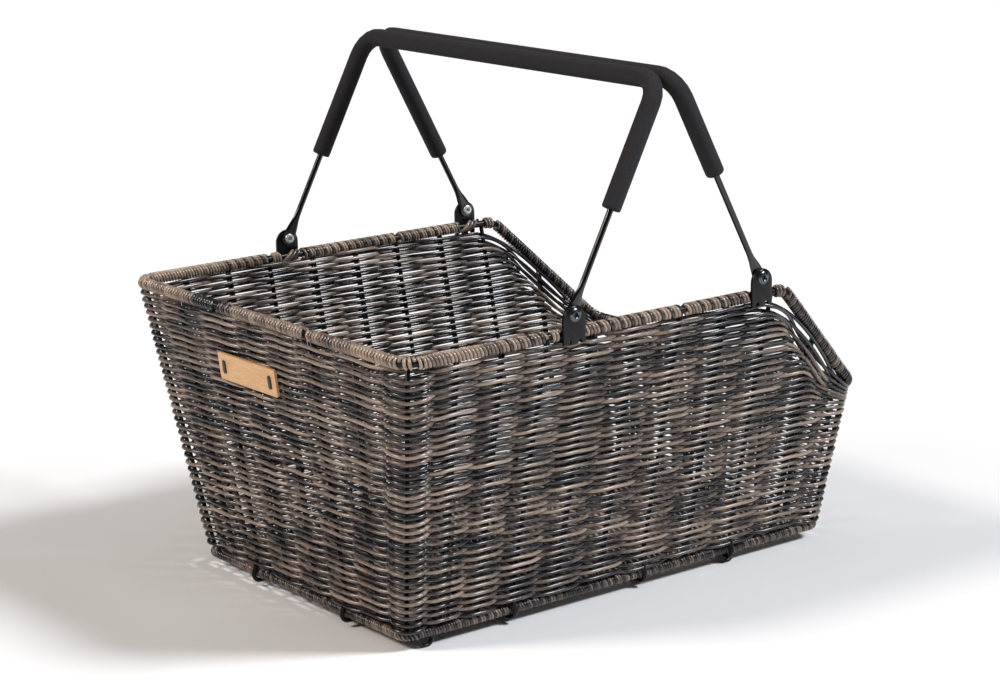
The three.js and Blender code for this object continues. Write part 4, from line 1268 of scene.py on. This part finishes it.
# The rounded end, as distance from the cut and share of the full girth
EDGE_STEPS = [(-0.05, 0.78), (0.0, 0.9), (0.35, 0.955), (1.0, 0.985), (2.0, 1.0)]
EDGE_GIRTHS = [girth for _, girth in EDGE_STEPS]
for end, slide in GRIP_SLIDE.items():
    name = f"handle_grip_{end}_foam"
    line = handle_line(GRIP_START + slide, GRIP_START - slide)
    head, tail = ([tip + Vector((0, 0, d)) for d, _ in EDGE_STEPS] for tip in (line[0], line[-1]))
    middle, _ = resample(line[1:-1], GRIP_SPACING)
    girths = EDGE_GIRTHS + [1.0] * len(middle) + EDGE_GIRTHS[::-1]
    mesh = tube_mesh(name, [(head + middle + tail[::-1], 0)], GRIP_RADIUS, GRIP_ROUNDING, girths)
    mesh.transform(Matrix.Scale(MM, 4) @ handle_matrix(end) @ Matrix.Scale(1 / MM, 4))
    piece = place_mesh(name, mesh)
    dress(piece, end + "_handle", [f"handle_grip_{end}"], rubber_foam)
print("grip faces", len(mesh.polygons))

# %% [markdown]
# ## Plate on the rear wall
# A small bare bamboo plate sits on the rear wall, held by two black clips through slots. The plate
# is a rectangle with rounded corners and two slots, filled, extruded and bevelled.

# %% Plate and clips
PLATE_LONG, PLATE_HIGH, PLATE_THICK, PLATE_BEND, PLATE_BEVEL = 80.0, 22.0, 2.4, 2.0, 0.3
PLATE_Y, PLATE_Z = 21.5, 188.0
PLATE_BACK = 5.1
SLOT_AT, SLOT_HALF, SLOT_RADIUS = 32.0, 3.4, 1.6
SLOT_SEGMENTS, CORNER_SEGMENTS = 20, 5
SHARP = 1.2


def plate_matrix():
    up = Vector((-REAR_LEAN, 0, 1)).normalized()
    across = Vector((0, -1, 0))
    out = across.cross(up)
    matrix = Matrix((across, up, out)).transposed().to_4x4()
    matrix.translation = Vector((BASE_REAR_X - REAR_LEAN * (PLATE_Z - BASE_Z), PLATE_Y, PLATE_Z))
    return matrix


def stretched_circle(shape, radius, half, at, filled):
    ring = bmesh.ops.create_circle(shape, cap_ends=filled, segments=SLOT_SEGMENTS, radius=radius)
    for v in ring["verts"]:
        v.co += Vector((at, half if v.co.y > 0 else -half, 0))


def thicken(shape, bottom, top, soften):
    faces = shape.faces[:]
    made = bmesh.ops.extrude_face_region(shape, geom=faces)
    lifted = [v for v in made["geom"] if isinstance(v, bmesh.types.BMVert)]
    bmesh.ops.translate(shape, verts=shape.verts[:], vec=(0, 0, bottom))
    bmesh.ops.translate(shape, verts=lifted, vec=(0, 0, top - bottom))
    bmesh.ops.recalc_face_normals(shape, faces=shape.faces[:])
    sharp = [e for e in shape.edges if len(e.link_faces) == 2 and e.calc_face_angle() > SHARP]
    bmesh.ops.bevel(shape, geom=sharp, offset=soften, affect="EDGES", segments=2, profile=0.5,
                    material=-1)


plate = bmesh.new()
bmesh.ops.create_grid(plate, x_segments=1, y_segments=1, size=1)
bmesh.ops.scale(plate, verts=plate.verts[:], vec=(PLATE_LONG / 2, PLATE_HIGH / 2, 1))
bmesh.ops.bevel(plate, geom=plate.verts[:], offset=PLATE_BEND, affect="VERTICES",
                segments=CORNER_SEGMENTS, profile=0.5, material=-1)
for face in plate.faces[:]:
    plate.faces.remove(face)
for at in (-SLOT_AT, SLOT_AT):
    stretched_circle(plate, SLOT_RADIUS, SLOT_HALF, at, False)
bmesh.ops.triangle_fill(plate, use_beauty=True, edges=plate.edges[:])
thicken(plate, PLATE_BACK, PLATE_BACK + PLATE_THICK, PLATE_BEVEL)
piece = place_bmesh("badge_plate_bamboo", plate, plate_matrix())
dress(piece, "basket", ["badge_plate"], bamboo_veneer)
print("plate faces", len(piece.data.polygons))

CLIP_HEAD = PLATE_BACK + PLATE_THICK
CLIP_LIP, CLIP_SINK, CLIP_RISE, CLIP_BEVEL = 0.5, 0.2, 1.0, 0.5
SHAFT_GAP, SHAFT_PAST, SHAFT_BEVEL = 0.3, 1.5, 0.2
for word, at in (("far", -SLOT_AT), ("near", SLOT_AT)):
    clip = bmesh.new()
    stretched_circle(clip, SLOT_RADIUS + CLIP_LIP, SLOT_HALF, at, True)
    thicken(clip, CLIP_HEAD - CLIP_SINK, CLIP_HEAD + CLIP_RISE, CLIP_BEVEL)
    shaft = bmesh.new()
    stretched_circle(shaft, SLOT_RADIUS - SHAFT_GAP, SLOT_HALF, at, True)
    thicken(shaft, -PLATE_BACK - SHAFT_PAST, CLIP_HEAD, SHAFT_BEVEL)
    add_bmesh(clip, shaft)
    piece = place_bmesh(f"badge_clip_{word}_nylon", clip, plate_matrix())
    dress(piece, "basket", [f"badge_clip_{word}"], black_nylon)

# %% [markdown]
# ## Studio
# The basket stands on a plain pale floor under soft light: a cool light from the right, which puts
# the bright lines on the long side, a warm one from the left for the rear, a broad light from above
# and a pale world. All three lights are suns with a wide disc, so the floor is lit evenly to its
# far edge and the shadows stay soft.

# %% Floor and lights
STUDIO_SIZE = 8
floor = bmesh.new()
bmesh.ops.create_grid(floor, x_segments=1, y_segments=1, size=STUDIO_SIZE)
pale_floor, _, _ = start_material(
    "pale_studio_floor", {"Base Color": colour("f4f4f4"), "Roughness": 0.9})
floor_mesh = bpy.data.meshes.new("studio_floor")
floor.to_mesh(floor_mesh)
floor.free()
studio_floor = place_mesh("studio_floor", floor_mesh)
studio_floor.data.materials.append(pale_floor)
studio_floor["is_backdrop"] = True

# Each light: bearing and height in degrees, strength, width of its disc in degrees and tint
SUNS = {
    "right": (42, 44, 3.0, 14, "f6f9ff"),
    "left": (-110, 40, 1.9, 14, "fff4ea"),
    "overhead": (-40, 80, 0.5, 60, "ffffff"),
}
for name, (azimuth, rise, strength, spread, tint) in SUNS.items():
    light = bpy.data.lights.new(name, "SUN")
    light.energy = strength
    light.color = colour(tint)[:3]
    light.angle = math.radians(spread)
    lamp = bpy.data.objects.new(name, light)
    turn, lift = math.radians(azimuth), math.radians(rise)
    towards = Vector((math.sin(turn) * math.cos(lift), -math.cos(turn) * math.cos(lift), math.sin(lift)))
    lamp.rotation_euler = towards.to_track_quat("Z", "Y").to_euler()
    bpy.context.scene.collection.objects.link(lamp)
WORLD_STRENGTH = 0.04
world = bpy.data.worlds.new("pale_studio")
world.use_nodes = True
sky = world.node_tree.nodes["Background"]
sky.inputs["Color"].default_value = (1, 1, 1, 1)
sky.inputs["Strength"].default_value = WORLD_STRENGTH
bpy.context.scene.world = world
bpy.context.scene.view_settings.view_transform = "Standard"

# %% [markdown]
# ## Size and finish
# The dressed basket is meant to keep the size of the imported one. The last line prints by how
# much its box reaches past the imported box, on each side.

# %% Size and finish
seen_low, seen_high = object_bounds()
grown = [*(cad_low - seen_low), *(seen_high - cad_high)]
print("grown by mm", [round(v / MM, 1) for v in grown])
